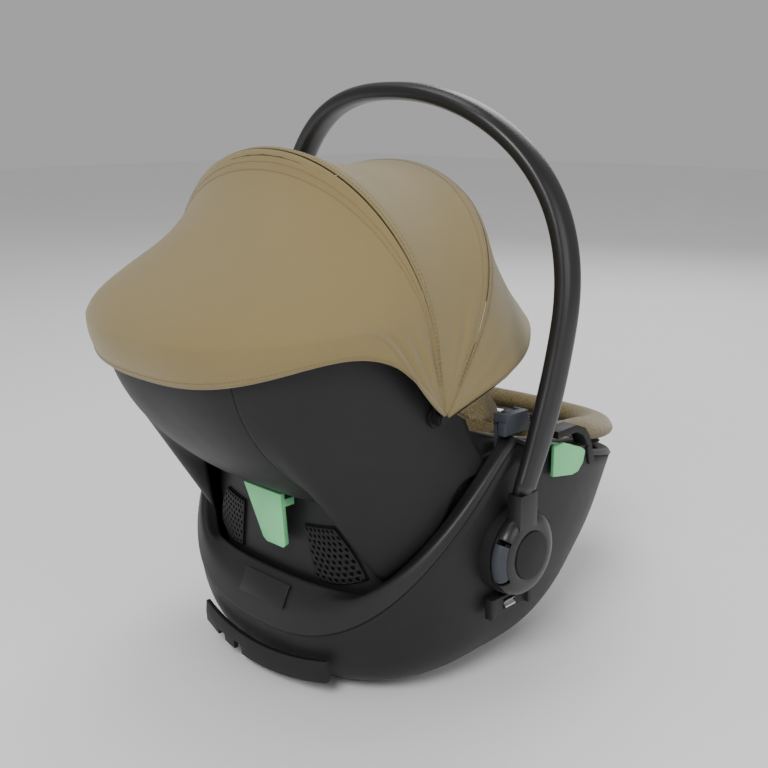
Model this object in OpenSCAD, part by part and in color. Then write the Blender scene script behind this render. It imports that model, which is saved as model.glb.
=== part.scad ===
// Infant carrier car seat: rocker base, seat shell, folding canopy and swinging carry handle.
// Frame: +X to the child's left, +Y to the head end, +Z up. The origin is on the rest plane,
// in the middle, below the axis of the carry handle.

/* [Overall size] */
// Width of the base across the rim beside the handle hubs
base_w = 404; // [380:2:430]
// Reach of the rim crease from the hub axis to the head end
base_rear = 169; // [155:1:185]
// Reach of the rim crease from the hub axis to the foot end
base_front = 325; // [300:1:350]
// Height of the handle hub axis above the rest plane
hub_h = 150; // [140:1:165]
// Reach of the seat shell's rim from the hub axis to the head end
head_reach = 280; // [268:1:292]
// Height of the seat shell's rim at the head end
head_h = 383; // [372:1:392]

/* [Shells] */
// Wall of the moulded base and seat shells
shell_t = 3; // [2:0.1:4]
// Wall of the head covers
cover_t = 2.6; // [2:0.1:3.5]
// Gap between pieces that lie against each other
gap = 0.5; // [0.3:0.1:1]
// Height of the rim beside the hubs
rim_side_h = 262; // [255:1:270]
// Height of the rim crease at the head end
crease_h = 60; // [55:1:66]
// Height of the rim crease at the foot end
rim_foot_h = 160; // [150:1:168]
// Thickness of the foam liner
foam_t = 12; // [8:0.5:15]
// Thickness of the padded seat cover
pad_t = 8; // [5:0.5:11]

/* [Carry handle] */
// Radius of a hub
hub_r = 44; // [40:0.5:47]
// Thickness of a hub
hub_t = 16; // [14:0.5:18]
// Radius of a pivot pin
pin_r = 9; // [7:0.25:11]
// Radial running clearance of the pins
run = 0.05; // [0.02:0.01:0.1]
// Height of the middle of the carry bar at the top of its arch
bar_top = 599; // [590:1:620]
// Width of the carry bar's section
bar_w = 33; // [28:0.5:38]
// Thickness of the carry bar's section
bar_t = 19; // [16:0.5:22]
// Travel of a handle button
button_travel = 4.5; // [3:0.1:5]

/* [Canopy] */
// Distance of the canopy pivot behind the hub axis
pivot_y = 90; // [80:1:100]
// Height of the canopy pivot
pivot_z = 302; // [295:1:310]
// Width of a bow
bow_w = 8; // [6:0.5:10]
// Thickness of a bow
bow_t = 2.4; // [2:0.1:3]
// Reach of the rear bow from the pivot to the middle of its arch
bow_1_reach = 243; // [236:1:248]
// Lean of the rear bow from upright, towards the head end
bow_1_lean = 12; // [8:1:16]
// Reach of the middle bow from the pivot
bow_2_reach = 256; // [248:1:262]
// Lean of the middle bow from upright, towards the foot end
bow_2_lean = 31; // [26:1:36]
// Reach of the visor bow from the pivot
bow_3_reach = 250; // [240:1:254]
// Lean of the visor bow from upright, towards the foot end
bow_3_lean = 74; // [68:1:78]
// Thickness of the canopy fabric
cloth_t = 1.6; // [1:0.1:2.5]

/* [Belts and harness] */
// Width of the harness webbing
web_w = 25; // [20:1:38]
// Thickness of the harness webbing
web_t = 1.6; // [1:0.1:2.5]
// Width of the shoulder belt guide at its top
guide_w = 58; // [50:1:64]

/* [Hidden] */
$fn = 48;

black = [0.13, 0.13, 0.135];
dark = [0.09, 0.09, 0.095];
slate = [0.25, 0.27, 0.30];
mint = [0.60, 0.80, 0.64];
taupe = [0.60, 0.545, 0.42];
foam_grey = [0.75, 0.75, 0.74];
steel = [0.62, 0.63, 0.65];

half_w = base_w/2;
rn = 48; // points round a ring of a shell

// ---- outlines and closed skins ----
function sp(v, p) = sign(v)*pow(abs(v), p);
function mix(a, b, t) = a + (b - a)*t;
function clamp01(v) = max(0, min(1, v));
function ease(v) = let (c = clamp01(v)) c*c*(3 - 2*c);
function unit(v) = v/max(norm(v), 1e-9);

// One point of a plan outline at the turn a, from the head end towards +X. The outline is a
// superellipse of half width w that reaches yr to the head end and yf to the foot end. Its
// height is zs at the sides, zr at the head end and zf at the foot end.
function rim_pt(a, w, yr, yf, zs, zr, zf, n = 2.6, g = 1, kr = 1.2, kf = 0.9, yc = 0) =
    let (s = sp(sin(a), 2/n), c = pow(abs(cos(a)), 2/n))
    cos(a) >= 0
        ? [w*s, yc + yr*c, zs + (zr - zs)*min(1, g*pow(c, kr))]
        : [w*s, yc - yf*c, zs + (zf - zs)*pow(c, kf)];
function ring(w, yr, yf, zs, zr, zf, n = 2.6, g = 1, kr = 1.2, kf = 0.9) =
    [for (i = [0:rn - 1]) rim_pt(i*360/rn, w, yr, yf, zs, zr, zf, n, g, kr, kf)];
function lift(pts, h) = [for (p = pts) p + [0, 0, h]];
function flip(list) = [for (i = [len(list) - 1:-1:0]) list[i]];
function middle(pts) = [for (k = [0:2]) (min([for (p = pts) p[k]]) + max([for (p = pts) p[k]]))/2];

// Closed solid through closed rings, with a fan over each end
module skin(rings) {
    n = len(rings[0]);
    m = len(rings);
    pts = concat([for (r = rings) each r], [middle(rings[0]), middle(rings[m - 1])]);
    sides = [for (k = [0:m - 2], i = [0:n - 1]) let (j = (i + 1)%n)
        each [[k*n + i, k*n + j, (k + 1)*n + i], [k*n + j, (k + 1)*n + j, (k + 1)*n + i]]];
    ends = [for (i = [0:n - 1]) let (j = (i + 1)%n)
        each [[m*n, j, i], [m*n + 1, (m - 1)*n + i, (m - 1)*n + j]]];
    polyhedron(pts, concat(sides, ends), convexity = 8);
}

// Closed loop: the last ring joins the first
module skin_loop(rings) {
    n = len(rings[0]);
    m = len(rings);
    pts = [for (r = rings) each r];
    faces = [for (k = [0:m - 1], i = [0:n - 1]) let (j = (i + 1)%n, q = (k + 1)%m)
        each [[k*n + i, k*n + j, q*n + i], [k*n + j, q*n + j, q*n + i]]];
    polyhedron(pts, faces, convexity = 8);
}

// Closed sheet between two grids of points of the same size
module slab(outer, inner) {
    nu = len(outer);
    nv = len(outer[0]);
    o = nu*nv;
    pts = concat([for (r = outer) each r], [for (r = inner) each r]);
    top = [for (u = [0:nu - 2], v = [0:nv - 2]) let (p = u*nv + v)
        each [[p, p + nv, p + 1], [p + 1, p + nv, p + nv + 1]]];
    under = [for (f = top) [f[0] + o, f[2] + o, f[1] + o]];
    long = [for (u = [0:nu - 2]) let (a = u*nv, b = u*nv + nv - 1)
        each [[a, a + o, a + nv], [a + nv, a + o, a + nv + o],
              [b, b + nv, b + o], [b + nv, b + nv + o, b + o]]];
    short = [for (v = [0:nv - 2]) let (a = v, b = (nu - 1)*nv + v)
        each [[a, a + 1, a + o], [a + 1, a + 1 + o, a + o],
              [b, b + o, b + 1], [b + 1, b + o, b + 1 + o]]];
    polyhedron(pts, concat(top, under, long, short), convexity = 8);
}

// The grid moved along its own normals by t
function grid_offset(g, t) = let (nu = len(g), nv = len(g[0]))
    [for (u = [0:nu - 1]) [for (v = [0:nv - 1])
        let (du = g[min(u + 1, nu - 1)][v] - g[max(u - 1, 0)][v],
             dv = g[u][min(v + 1, nv - 1)] - g[u][max(v - 1, 0)])
        g[u][v] + t*unit(cross(du, dv))]];

module both_sides() {
    children();
    mirror([1, 0, 0]) children();
}

// ---- lines of the base: width, head reach and foot reach as shares of the rim, and heights ----
crease_n = 2.6;
function crease(dw = 0, dz = 0) = lift(ring(half_w + dw, base_rear + dw, base_front + dw,
    rim_side_h, crease_h, rim_foot_h, crease_n), dz);
base_foot = 4;       // height of the rubber feet
function base_outer(d = 0) = [
    ring(0.30*half_w - d, 0.36*base_rear - d, 0.22*base_front - d, base_foot + d,
        base_foot + d, base_foot + d, 3),
    ring(0.58*half_w - d, 0.72*base_rear - d, 0.425*base_front - d, base_foot + d,
        base_foot + d, base_foot + d, 3),
    ring(0.71*half_w - d, 0.83*base_rear - d, 0.49*base_front - d, 12 + d, 10 + d, 12 + d, 2.8),
    ring(0.82*half_w - d, 0.90*base_rear - d, 0.565*base_front - d, 28 + d, 19 + d, 27 + d, 2.7),
    ring(0.905*half_w - d, 0.94*base_rear - d, 0.67*base_front - d, 56 + d, 30 + d, 54 + d),
    ring(0.95*half_w - d, 0.965*base_rear - d, 0.77*base_front - d, 96, 41 + d/2, 84 + d),
    ring(0.976*half_w - d, 0.985*base_rear - d, 0.885*base_front - d, hub_h, 51, 116 + d/2),
    crease(-d)];

module base_shell() {
    color(black) skin(concat(base_outer(), flip(base_outer(shell_t))));
}

band_in = 13;        // the band's top edge lies this far inside the crease at the sides
band_rear_in = 21;   // and this far at the head end
band_top_h = 114;    // height of the band's top edge at the head end
function band_top(d, dz) = lift(ring(half_w - band_in - d, base_rear - band_rear_in - d,
    base_front - band_in - d, rim_side_h + 5, band_top_h, rim_foot_h + 8, crease_n, 1.18, 1.3), dz);
module rim_band() {
    mid = ring(half_w - 2.5, base_rear - 7, base_front - 3, rim_side_h + 5, 90, rim_foot_h + 7);
    color(black) skin_loop([crease(1.2, gap), mid, band_top(0, 0), band_top(3, -3),
        band_top(3.4, -14), crease(-3, gap)]);
}

module badge_plate() {
    lean = 38;
    color(slate) translate([-2, base_rear - 9.2, 95]) rotate([lean - 12, 0, 0])
        rotate([90, 0, 0]) translate([0, 0, -1.6]) linear_extrude(1.2) square([70, 26], center = true);
}

module rest_feet() {
    for (q = [[-78, -96], [78, -96], [-78, 84], [78, 84], [0, 0]])
        color(dark) translate([q[0], q[1], 0]) cylinder(r = 13, h = base_foot - 0.2);
}

// ---- seat shell: the outer skin that shows behind and below the head covers ----
function shell_outer(d = 0) = [
    ring(0.24*half_w - d, 0.24*base_rear - d, 0.18*base_front - d, 20 + d, 20 + d, 20 + d),
    ring(0.52*half_w - d, 0.59*base_rear - d, 0.43*base_front - d, 24 + d, 22 + d, 24 + d),
    ring(0.71*half_w - d, 0.74*base_rear - d, 0.57*base_front - d, 50 + d, 40 + d, 60 + d),
    ring(0.82*half_w - d, 0.79*base_rear - d, 0.72*base_front - d, 96, 74, 100 + d),
    ring(0.875*half_w - d, 0.825*base_rear - d, 0.87*base_front - d, 165, 112, 138 + d/2),
    ring(half_w - 21 - d, 0.87*base_rear - d, base_front - 18 - d, rim_side_h - 20, 206, 163),
    ring(half_w - 25 - d, mix(0.87*base_rear, head_reach, 0.22) - d, base_front - 14 - d,
        rim_side_h - 12, 232 + d/2, 170),
    ring(half_w - 28 - d, mix(0.87*base_rear, head_reach, 0.72) - d, base_front - 11 - d,
        rim_side_h - 5, 286 + d/2, 174, 2.7, 1.6, 1.4),
    ring(half_w - 31.5 - d, mix(0.87*base_rear, head_reach, 0.97) - d, base_front - 10 - d,
        rim_side_h - 2, 335, 176, 2.8, 2.2, 1.5),
    ring(half_w - 33 - d, head_reach - 1 - d, base_front - 9 - d, rim_side_h, head_h, 176,
        rim_n, rim_gain, rim_k)];
// Plan exponent of the head rim, and how fast it climbs from the hubs to the head
rim_n = 3.2;
rim_gain = 2.85;
rim_k = 1.6;
module seat_shell() {
    color(dark) skin(concat(shell_outer(), flip(shell_outer(shell_t))));
}

// ---- seat bowl: a height over the plan, shared by the pan, the foam, the cover and the straps ----
bowl_y = -70;        // deepest place of the bowl
bowl_z = 70;
bowl_n = 2.5;
bowl_rows = [0.07, 0.25, 0.43, 0.6, 0.74, 0.84, 0.91, 0.96, 1];
bowl_w = half_w - 38.6;
bowl_rear = head_reach - 7 - bowl_y;
bowl_front = base_front - 15 + bowl_y;
function rim_z(y) = y < 0 ? front_h(y)
    : rim_side_h + (head_h - 1 - rim_side_h)*min(1, rim_gain*pow(y/head_reach, rim_k));
// Height of the bowl: its middle line at the share v of the way to the head or foot end, and
// its walls, which climb to the rim near the share t = 1, with layers of depth d on top
function bowl_height(y, v, t, d) = let (back = y >= bowl_y,
        end_z = rim_z(bowl_y + (back ? bowl_rear : -bowl_front)),
        mid_z = bowl_z + d + (end_z - bowl_z - d)*pow(v, back ? 1.25 : 1.7))
    mix(mid_z, rim_z(y), pow(t, 7));
function bowl_pt(a, t, d) = let (s = sp(sin(a), 2/bowl_n), c = pow(abs(cos(a)), 2/bowl_n),
        y = bowl_y + (cos(a) >= 0 ? bowl_rear - 0.8*d : -(bowl_front - d))*t*c)
    [(bowl_w - d)*t*s, y, bowl_height(y, t*c, t, d)];
function bowl_rings(d, rows = bowl_rows) = [for (t = rows) [for (i = [0:rn - 1]) bowl_pt(i*360/rn, t, d)]];
function bowl_at(x, y, d) = let (l = y >= bowl_y ? bowl_rear - 0.8*d : bowl_front - d,
        v = abs(y - bowl_y)/l, h = abs(x)/(bowl_w - d))
    bowl_height(y, min(1, v), min(1, pow(pow(v, bowl_n) + pow(h, bowl_n), 1/bowl_n)), d);
soft_gap = gap + 2.2;             // the soft layers lie a little apart
d_foam = shell_t + soft_gap;
d_cover = d_foam + foam_t + soft_gap;
d_seat = d_cover + pad_t;
module bowl_layer(d0, d1) {
    skin(concat(bowl_rings(d0), flip(bowl_rings(d1))));
}
module seat_pan() {
    color(dark) bowl_layer(0, shell_t);
}
module foam_liner() {
    color(foam_grey) bowl_layer(d_foam, d_foam + foam_t);
}
module seat_cover() {
    color(taupe) bowl_layer(d_cover, d_seat);
}

// Padded roll that runs over the rim from one side round the foot end to the other
rim_pad_r = 15;
module rim_pad() {
    path = function(k) let (a = 104 + k*152/28)
        let (p = rim_pt(a, half_w - 32, 0, base_front + 13, 0, 0, 0, 2.5))
        [p[0], p[1], front_h(p[1]) + rim_pad_r + 2];
    rings = [for (k = [0:28]) let (p = path(k), q = path(k + 0.1) - path(k - 0.1),
            side = unit([q[1], -q[0], 0]), e = ease(min(k, 28 - k)/3)*0.5 + 0.5,
            foot = ease((-p[1] - 150)/150))
        [for (j = [0:11]) p + e*((rim_pad_r + 7*foot)*cos(j*30)*side
            + [0, 0, (rim_pad_r - 2)*sin(j*30)])]];
    color(taupe) skin(flip(rings));
}

// ---- head covers: skins over the back of the seat shell, split at two seams ----
cover_rows = 9;
// Profile of the covers at the turn a; v runs from the lower edge up to the rim
function cover_pt(a, v) =
    let (low = rim_pt(a, half_w - 19.7, base_rear - 3, 0, rim_side_h - 26, 214, 0, 2.8, 1.06, 1.5),
         belly = rim_pt(a, half_w - 23, mix(base_rear, head_reach, 0.62), 0, rim_side_h - 10, 262,
             0, 2.7, 1.3, 1.2),
         brow = rim_pt(a, half_w - 29.2, head_reach + 6, 0, rim_side_h + 4, 318, 0, 3, 2, 1.4),
         top = rim_pt(a, half_w - 29, head_reach + 4, 0, rim_side_h + 12, head_h - 4, 0, rim_n,
             rim_gain, rim_k),
         u = 1 - v)
    u*u*u*low + 3*u*u*v*belly + 3*u*v*v*brow + v*v*v*top;
function cover_grid(a0, a1, n) = [for (i = [0:n]) [for (j = [0:cover_rows])
    cover_pt(mix(a0, a1, i/n), j/cover_rows)]];
seam_a = 24;
cover_end_a = 87;
module cover_patch(a0, a1, n) {
    g = cover_grid(a0, a1, n);
    slab(g, grid_offset(g, -cover_t));
}
module back_cover() {
    color(black) cover_patch(-seam_a, seam_a, 12);
}
module side_cover() {
    color(black) cover_patch(seam_a + 0.2, cover_end_a, 12);
}

// ---- vents, belt guides ----
// Outline of a vent, along the shell and up from its middle
vent_edge = [[-40, 26], [-28, -32], [9, -28], [38, -8], [4, 31]];
function inside(p, margin) = min([for (k = [0:4]) let (a = vent_edge[k], e = vent_edge[(k + 1)%5] - a)
    (e[0]*(p[1] - a[1]) - e[1]*(p[0] - a[0]))/norm(e)]) > margin;
vent_holes = [for (r = [0:8], c = [0:9]) let (p = [(c - 5)*8 + (r%2)*4, (r - 4)*6.6])
    if (inside(p, 4.4)) p];
module oval(l, w) {
    square([l - w, w], center = true);
    for (s = [-1, 1]) translate([s*(l - w)/2, 0]) circle(d = w, $fn = 24);
}
vent_turn = 16;
module vent_panel() {
    color(black) translate([87, 0.83*base_rear + 2.5, 148]) rotate([0, 0, -vent_turn]) rotate([-5, 0, 0])
        rotate([90, 0, 0]) translate([0, 0, -1.6]) linear_extrude(1.6) difference() {
            polygon(vent_edge);
            for (p = vent_holes) translate(p) oval(5.4, 4);
        }
}

module shoulder_belt_guide() {
    plate_t = 5;
    h = 64;
    color(mint) translate([-11, base_rear - 10, 178.5]) rotate([-10, 0, 0]) {
        rotate([90, 0, 0]) translate([0, 0, -plate_t/2]) linear_extrude(plate_t)
            polygon([[guide_w/2, h/2], [-guide_w/2, h/2], [-22, -h/2 + 4], [-18, -h/2],
                [8, -h/2], [13, -h/2 + 4]]);
    }
    // arm that joins the plate to the shell above the belt gap
    color(mint) translate([-39, 0.87*base_rear + 1.4, 195]) cube([guide_w - 10, 13, 8]);
}

guide_y = -90;                    // middle of a lap belt guide
wall_x = half_w + 1.2;            // just outside the band
guide_t = 3.4;
guide_in = 14;                    // reach of a guide over the band
function front_h(y) = mix(rim_side_h, rim_foot_h + 14, pow(max(0, -y)/base_front, 0.9));
guide_z = front_h(guide_y) + 4;   // just above the band beside the guide
// Plate across the width from x0 to x1, with its outline given along and up from the guide
module side_plate(x0, x1, outline) {
    translate([x0, guide_y, guide_z]) rotate([90, 0, 90]) linear_extrude(x1 - x0) polygon(outline);
}
module lap_belt_guide() {
    a = front_h(guide_y + 25) + 2 - guide_z;
    b = front_h(guide_y - 25) + 2 - guide_z;
    color(mint) {
        side_plate(wall_x, wall_x + guide_t, [[30, a + 1], [13, a + 2.4], [-22, b + 2.6], [-27, b - 2],
            [-24, b - 14], [-15, -31], [-4, -32], [30, -26]]);
        side_plate(wall_x - guide_in, wall_x + 0.5, [[25, a], [25, a + 2.4], [-22, b + 3.2], [-25, b]]);
    }
}
module belt_arch() {
    color(black) {
        side_plate(wall_x - guide_in, wall_x + guide_t, [[24, 21], [-9, 22], [-26, 15], [-35, 4],
            [-40, -8], [-31, -6], [-26, 3], [-20, 9], [-9, 14], [24, 13.5]]);
        side_plate(wall_x, wall_x + guide_t, [[-39, -5], [-46, -26], [-36, -28], [-31, -8]]);
    }
}

// ---- soft pieces inside ----
module side_wing() {
    g = [for (i = [0:8]) let (y = mix(-24, 60, i/8)) [for (j = [0:5]) let (v = j/5,
            tall = 24 + 20*sin(180*i/8))
        [half_w - 31 - 12*v, y, rim_z(y) + 13 + tall*v]]];
    color(taupe) slab(g, grid_offset(g, -9));
}

module lumbar_insert() {
    g = [for (i = [0:8]) let (x = mix(-75, 75, i/8)) [for (j = [0:8]) let (y = mix(-44, 60, j/8))
        [x, y, bowl_at(x, y, d_seat) + 8]]];
    top = [for (i = [0:8]) [for (j = [0:8]) g[i][j] + [0, 0, 5 + 15*sin(180*i/8)*sin(180*j/8)]]];
    color(taupe) slab(top, g);
}

rest_y0 = 92;
rest_y1 = 172;
rest_end = rest_y1 + 22;          // the headrest slides up to here
rest_z = bowl_at(0, rest_y0, d_seat) + 14;
rest_slope = (bowl_at(0, rest_end, d_seat) + 14 - rest_z)/(rest_end - rest_y0);
module headrest() {
    g = [for (i = [0:10]) let (x = mix(-86, 86, i/10)) [for (j = [0:5]) let (y = mix(rest_y0, rest_y1, j/5))
        [x, y, rest_z + rest_slope*(y - rest_y0) + bowl_at(x, rest_end, d_seat)
            - bowl_at(0, rest_end, d_seat)]]];
    top = [for (i = [0:10]) [for (j = [0:5]) let (e = ease((abs(g[i][j][0]) - 52)/30))
        g[i][j] + [0, -14 - 10*e, 16 + 34*e]]];
    color(taupe) slab(top, g);
}

// ---- harness ----
// Lift of a soft strip over the seat cover
function over_seat(x, y, h) = [x, y, bowl_at(x, y, d_seat) + h];
strap_x = 44;
strap_h = 38;
function strap_line(x, w, y0, y1, n, h) = [for (i = [0:n]) let (y = mix(y0, y1, i/n))
    [for (e = [-1, 1]) over_seat(x, y, h) + [e*w/2, 0, 0]]];
module strip(x, w, t, y0, y1, h, n = 8) {
    g = strap_line(x, w, y0, y1, n, h);
    slab([for (r = g) [for (p = flip(r)) p + [0, 0, t]]], [for (r = g) flip(r)]);
}
module shoulder_straps() {
    for (s = [-1, 1]) color(dark) strip(s*strap_x, web_w, web_t, -58, 76, strap_h);
}
module shoulder_pads() {
    for (s = [-1, 1]) color(taupe) strip(s*strap_x, web_w + 22, 9, -8, 72, strap_h + web_t + 1);
}
buckle_y = -98;
module crotch_strap() {
    color(dark) strip(0, web_w, web_t, -204, buckle_y - 46, 14, 4);
}
module crotch_pad() {
    color(taupe) strip(0, web_w + 26, 8, -200, buckle_y - 48, 15 + web_t, 4);
}
buckle_z = 128;
module buckle_body() {
    color(dark) translate([0, buckle_y, buckle_z]) rotate([4, 0, 0]) difference() {
        translate([0, 0, -7]) linear_extrude(16) union() {
            square([38, 46], center = true);
            for (y = [-23, 23]) translate([0, y]) circle(d = 38);
        }
        translate([0, 4, -1]) cylinder(d = 25, h = 12);
        translate([-22, 24, -2]) cube([44, 20, 4.4]);
    }
}
module buckle_button() {
    color([0.72, 0.16, 0.13]) translate([0, buckle_y, buckle_z]) rotate([4, 0, 0])
        translate([0, 4, 3]) cylinder(d = 24.4, h = 7);
}
module buckle_tongues() {
    for (s = [-1, 1]) color(steel) translate([0, buckle_y, buckle_z]) rotate([4, 0, 0])
        translate([s*10.5 - 8, 28, -1]) cube([16, 22, 2.4]);
}
adj_y = -262;
module adjuster_housing() {
    z = bowl_at(0, adj_y, d_seat) + 7;
    color(dark) translate([0, adj_y, z]) rotate([-24, 0, 0]) difference() {
        translate([-21, -15, 0]) cube([42, 30, 9]);
        translate([-12.5, -10.5, 4]) cube([25, 17, 6]);
        translate([-14, 6, 1.5]) cube([28, 12, 3.5]);
    }
}
module adjuster_button() {
    z = bowl_at(0, adj_y, d_seat) + 7;
    color(slate) translate([0, adj_y, z]) rotate([-24, 0, 0])
        translate([-12, -10, 6.4]) cube([24, 16, 5]);
}
module adjuster_strap() {
    z = bowl_at(0, adj_y, d_seat) + 7;
    color(dark) translate([0, adj_y, z]) rotate([-24, 0, 0])
        translate([-web_w/2, 8, 2.4]) cube([web_w, 34, web_t]);
}

// ---- handle hubs ----
hub_in = half_w + 8;           // inner face of a hub
hub_out = hub_in + hub_t;
module x_tube(r, r0, x0, x1) {
    translate([x0, 0, hub_h]) rotate([0, 90, 0]) difference() {
        cylinder(r = r, h = x1 - x0);
        if (r0 > 0) translate([0, 0, -1]) cylinder(r = r0, h = x1 - x0 + 2);
    }
}
gear_r = 15;
gear_t = 8;
gear_x = hub_in - 5.5;          // inner face of a lock gear at rest
cavity_r = gear_r + 3;
module hub_bearings() {
    color(dark) both_sides() difference() {
        x_tube(hub_r + 1, pin_r + run, half_w - 14, hub_in - 0.6);
        x_tube(cavity_r, 0, half_w - 1.8, hub_in + 1);
    }
}
module pivot_pins() {
    color(steel) both_sides() {
        x_tube(pin_r, 0, half_w - 14, hub_out - 1);
        x_tube(pin_r + 5, 0, half_w - 17, half_w - 14.2);
    }
}
leg_top = hub_h + 66;
leg_w = 27;
cap_r = 25;                      // a cap fills the hub and runs on the pin
pocket_in = 27;
pocket_x = hub_in + 1.6;
// Outline of a hub from its inner face outwards, as radius and depth
function hub_shape(t = 0) = [[hub_r + t, 0], [hub_r + t, hub_t - 10], [hub_r - 1.5 + t, hub_t - 6],
    [hub_r - 5 + t, hub_t - 2.6], [hub_r - 10 + t, hub_t - 0.6], [hub_r - 14, hub_t]];
// Turned segment behind the hub's axis, from an outline of radius and depth
module button_sector(outline, x0, half_a) {
    translate([x0, 0, hub_h]) rotate([0, 90, 0]) rotate([0, 0, 90 - half_a])
        rotate_extrude(angle = 2*half_a) polygon(outline);
}
module hub() {
    color(black) difference() {
        union() {
            translate([hub_in, 0, hub_h]) rotate([0, 90, 0])
                rotate_extrude() polygon(concat([[0, 0]], hub_shape(), [[0, hub_t]]));
            translate([hub_in, bar_y(leg_top) - leg_w/2, hub_h + 30])
                cube([hub_t, leg_w, leg_top - hub_h - 30]);
        }
        x_tube(cap_r + 0.15, 0, hub_in - 1, hub_out + 1);
        button_sector([[pocket_in, 0], [hub_r + 2, 0], [hub_r + 2, hub_t - 3.2], [pocket_in, hub_t - 3.2]],
            pocket_x, 34);
    }
}
module hub_caps() {
    color(slate) both_sides() difference() {
        x_tube(cap_r, 0, hub_in + 5.5, hub_out + 1.2);
        x_tube(pin_r + run, 0, hub_in, hub_out - 0.6);
    }
}
module hub_button() {
    r = pocket_in + button_travel + 1.5;
    color(slate) button_sector([[r, 0], [hub_r + 1.2, 0], [hub_r + 1.2, hub_t - 9.5],
        [hub_r - 1, hub_t - 6.5], [hub_r - 4, hub_t - 4.2], [r, hub_t - 4.2]], pocket_x + 0.5, 27);
}
module lock_gear() {
    color(steel) difference() {
        union() {
            x_tube(gear_r - 3, 0, gear_x, gear_x + gear_t);
            for (k = [0:11]) translate([gear_x, 0, hub_h]) rotate([k*30, 0, 0])
                translate([0, -2.5, 0]) cube([gear_t, 5, gear_r]);
        }
        x_tube(pin_r + 0.3, 0, gear_x - 1, gear_x + gear_t + 1);
    }
}
module lock_springs() {
    color(steel) both_sides() for (k = [0:1])
        x_tube(pin_r + 4, pin_r + 1, half_w - 1.5 + k*1.2, half_w - 0.8 + k*1.2);
}

// ---- carry bar: an oval section swept along the arch ----
bar_x = hub_in + hub_t/2;
bar_n = 2.25;
arch_z = 370;                    // height where the legs turn into the arch
bar_fore = -62;                  // furthest place of the bar towards the foot end
bar_fore_z = 480;
// The bar bows towards the foot end: slowly up the legs and faster over the top
function bar_y(z) = bar_fore + pow((z - bar_fore_z)/(z < bar_fore_z ? 32 : 22.5), 2);
bar_leg_n = 5;
bar_arch_n = 40;
function bar_path(i) = let (low = i < bar_leg_n, high = i > bar_leg_n + bar_arch_n,
        f = (low ? i : 2*bar_leg_n + bar_arch_n - i)/bar_leg_n,
        a = -90 + 180*(i - bar_leg_n)/bar_arch_n,
        z = (low || high) ? mix(leg_top + 0.3, arch_z, f)
            : arch_z + (bar_top - arch_z)*pow(max(0, cos(a)), 2/bar_n))
    [low ? -bar_x : high ? bar_x : bar_x*sp(sin(a), 2/bar_n), bar_y(z), z];
module carry_bar() {
    last = 2*bar_leg_n + bar_arch_n;
    pts = [for (i = [0:last]) bar_path(i)];
    rings = [for (i = [0:last]) let (q = unit(pts[min(i + 1, last)] - pts[max(i - 1, 0)]),
            t = (i == 0 || i == last) ? [0, 0, i == 0 ? 1 : -1] : q,
            across = unit(cross([0, 1, 0], t)), along = unit(cross(t, across)),
            leg = 1 - ease((pts[i][2] - leg_top)/80))
        [for (j = [0:15]) let (w = mix(bar_w, leg_w, leg)/2, h = mix(bar_t, hub_t, leg)/2)
            pts[i] + along*w*sp(sin(j*22.5), 0.8) + across*h*sp(cos(j*22.5), 0.8)]];
    color(black) skin(rings);
}

// ---- canopy ----
clip_x = half_w - 24;            // outer face of the shell where a canopy clip sits
module pivot_disc(r, x0, x1) {
    translate([x0, pivot_y, pivot_z]) rotate([0, 90, 0]) cylinder(r = r, h = x1 - x0);
}
canopy_pin_r = 3;
bow_x = [for (k = [0:2]) clip_x + 0.4 + k*(bow_t + 0.4)];
module canopy_clips() {
    color(dark) both_sides() difference() {
        pivot_disc(10, clip_x - 3, clip_x);
        pivot_disc(canopy_pin_r, clip_x - 4, clip_x + 1);
    }
}
module canopy_pins() {
    color(steel) both_sides() {
        pivot_disc(canopy_pin_r, clip_x - 3, bow_x[2] + bow_t + 0.3);
        pivot_disc(canopy_pin_r + 2, bow_x[2] + bow_t + 0.3, bow_x[2] + bow_t + 1.5);
    }
}
bow_n = 2.03;
// Point of an arch at the turn a from -90 to 90, in its own plane: across and out from the pivot
function arch_pt(a, w, reach, root) = [w*sp(sin(a), 2/bow_n),
    root + (reach - root)*pow(max(0, cos(a)), 2/bow_n)];
arch_root = 75;
function lean_pt(q, lean) = [q[0], pivot_y + q[1]*sin(lean), pivot_z + q[1]*cos(lean)];
module bow(k, reach, lean) {
    w = bow_x[k] + bow_t;
    outer = [for (i = [0:24]) arch_pt(-90 + 7.5*i, w, reach, arch_root)];
    inner = [for (i = [24:-1:0]) arch_pt(-90 + 7.5*i, w - bow_t, reach - bow_t, arch_root)];
    color(dark) difference() {
        translate([0, pivot_y, pivot_z]) rotate([-lean, 0, 0]) {
            translate([0, bow_w/2, 0]) rotate([90, 0, 0]) linear_extrude(bow_w)
                polygon(concat(outer, inner));
            for (s = [-1, 1]) translate([s*(w - bow_t/2) - bow_t/2, -bow_w/2, 0])
                cube([bow_t, bow_w, arch_root]);
            for (s = [-1, 1]) translate([s*(w - bow_t/2) - bow_t/2, 0, 0]) rotate([0, 90, 0])
                cylinder(r = 7, h = bow_t);
        }
        both_sides() pivot_disc(canopy_pin_r + run, clip_x - 1, bow_x[2] + bow_t + 2);
    }
}
module rear_bow() {
    bow(0, bow_1_reach, bow_1_lean);
}
module middle_bow() {
    bow(1, bow_2_reach, -bow_2_lean);
}
module visor_bow() {
    bow(2, bow_3_reach, -bow_3_lean);
}

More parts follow.
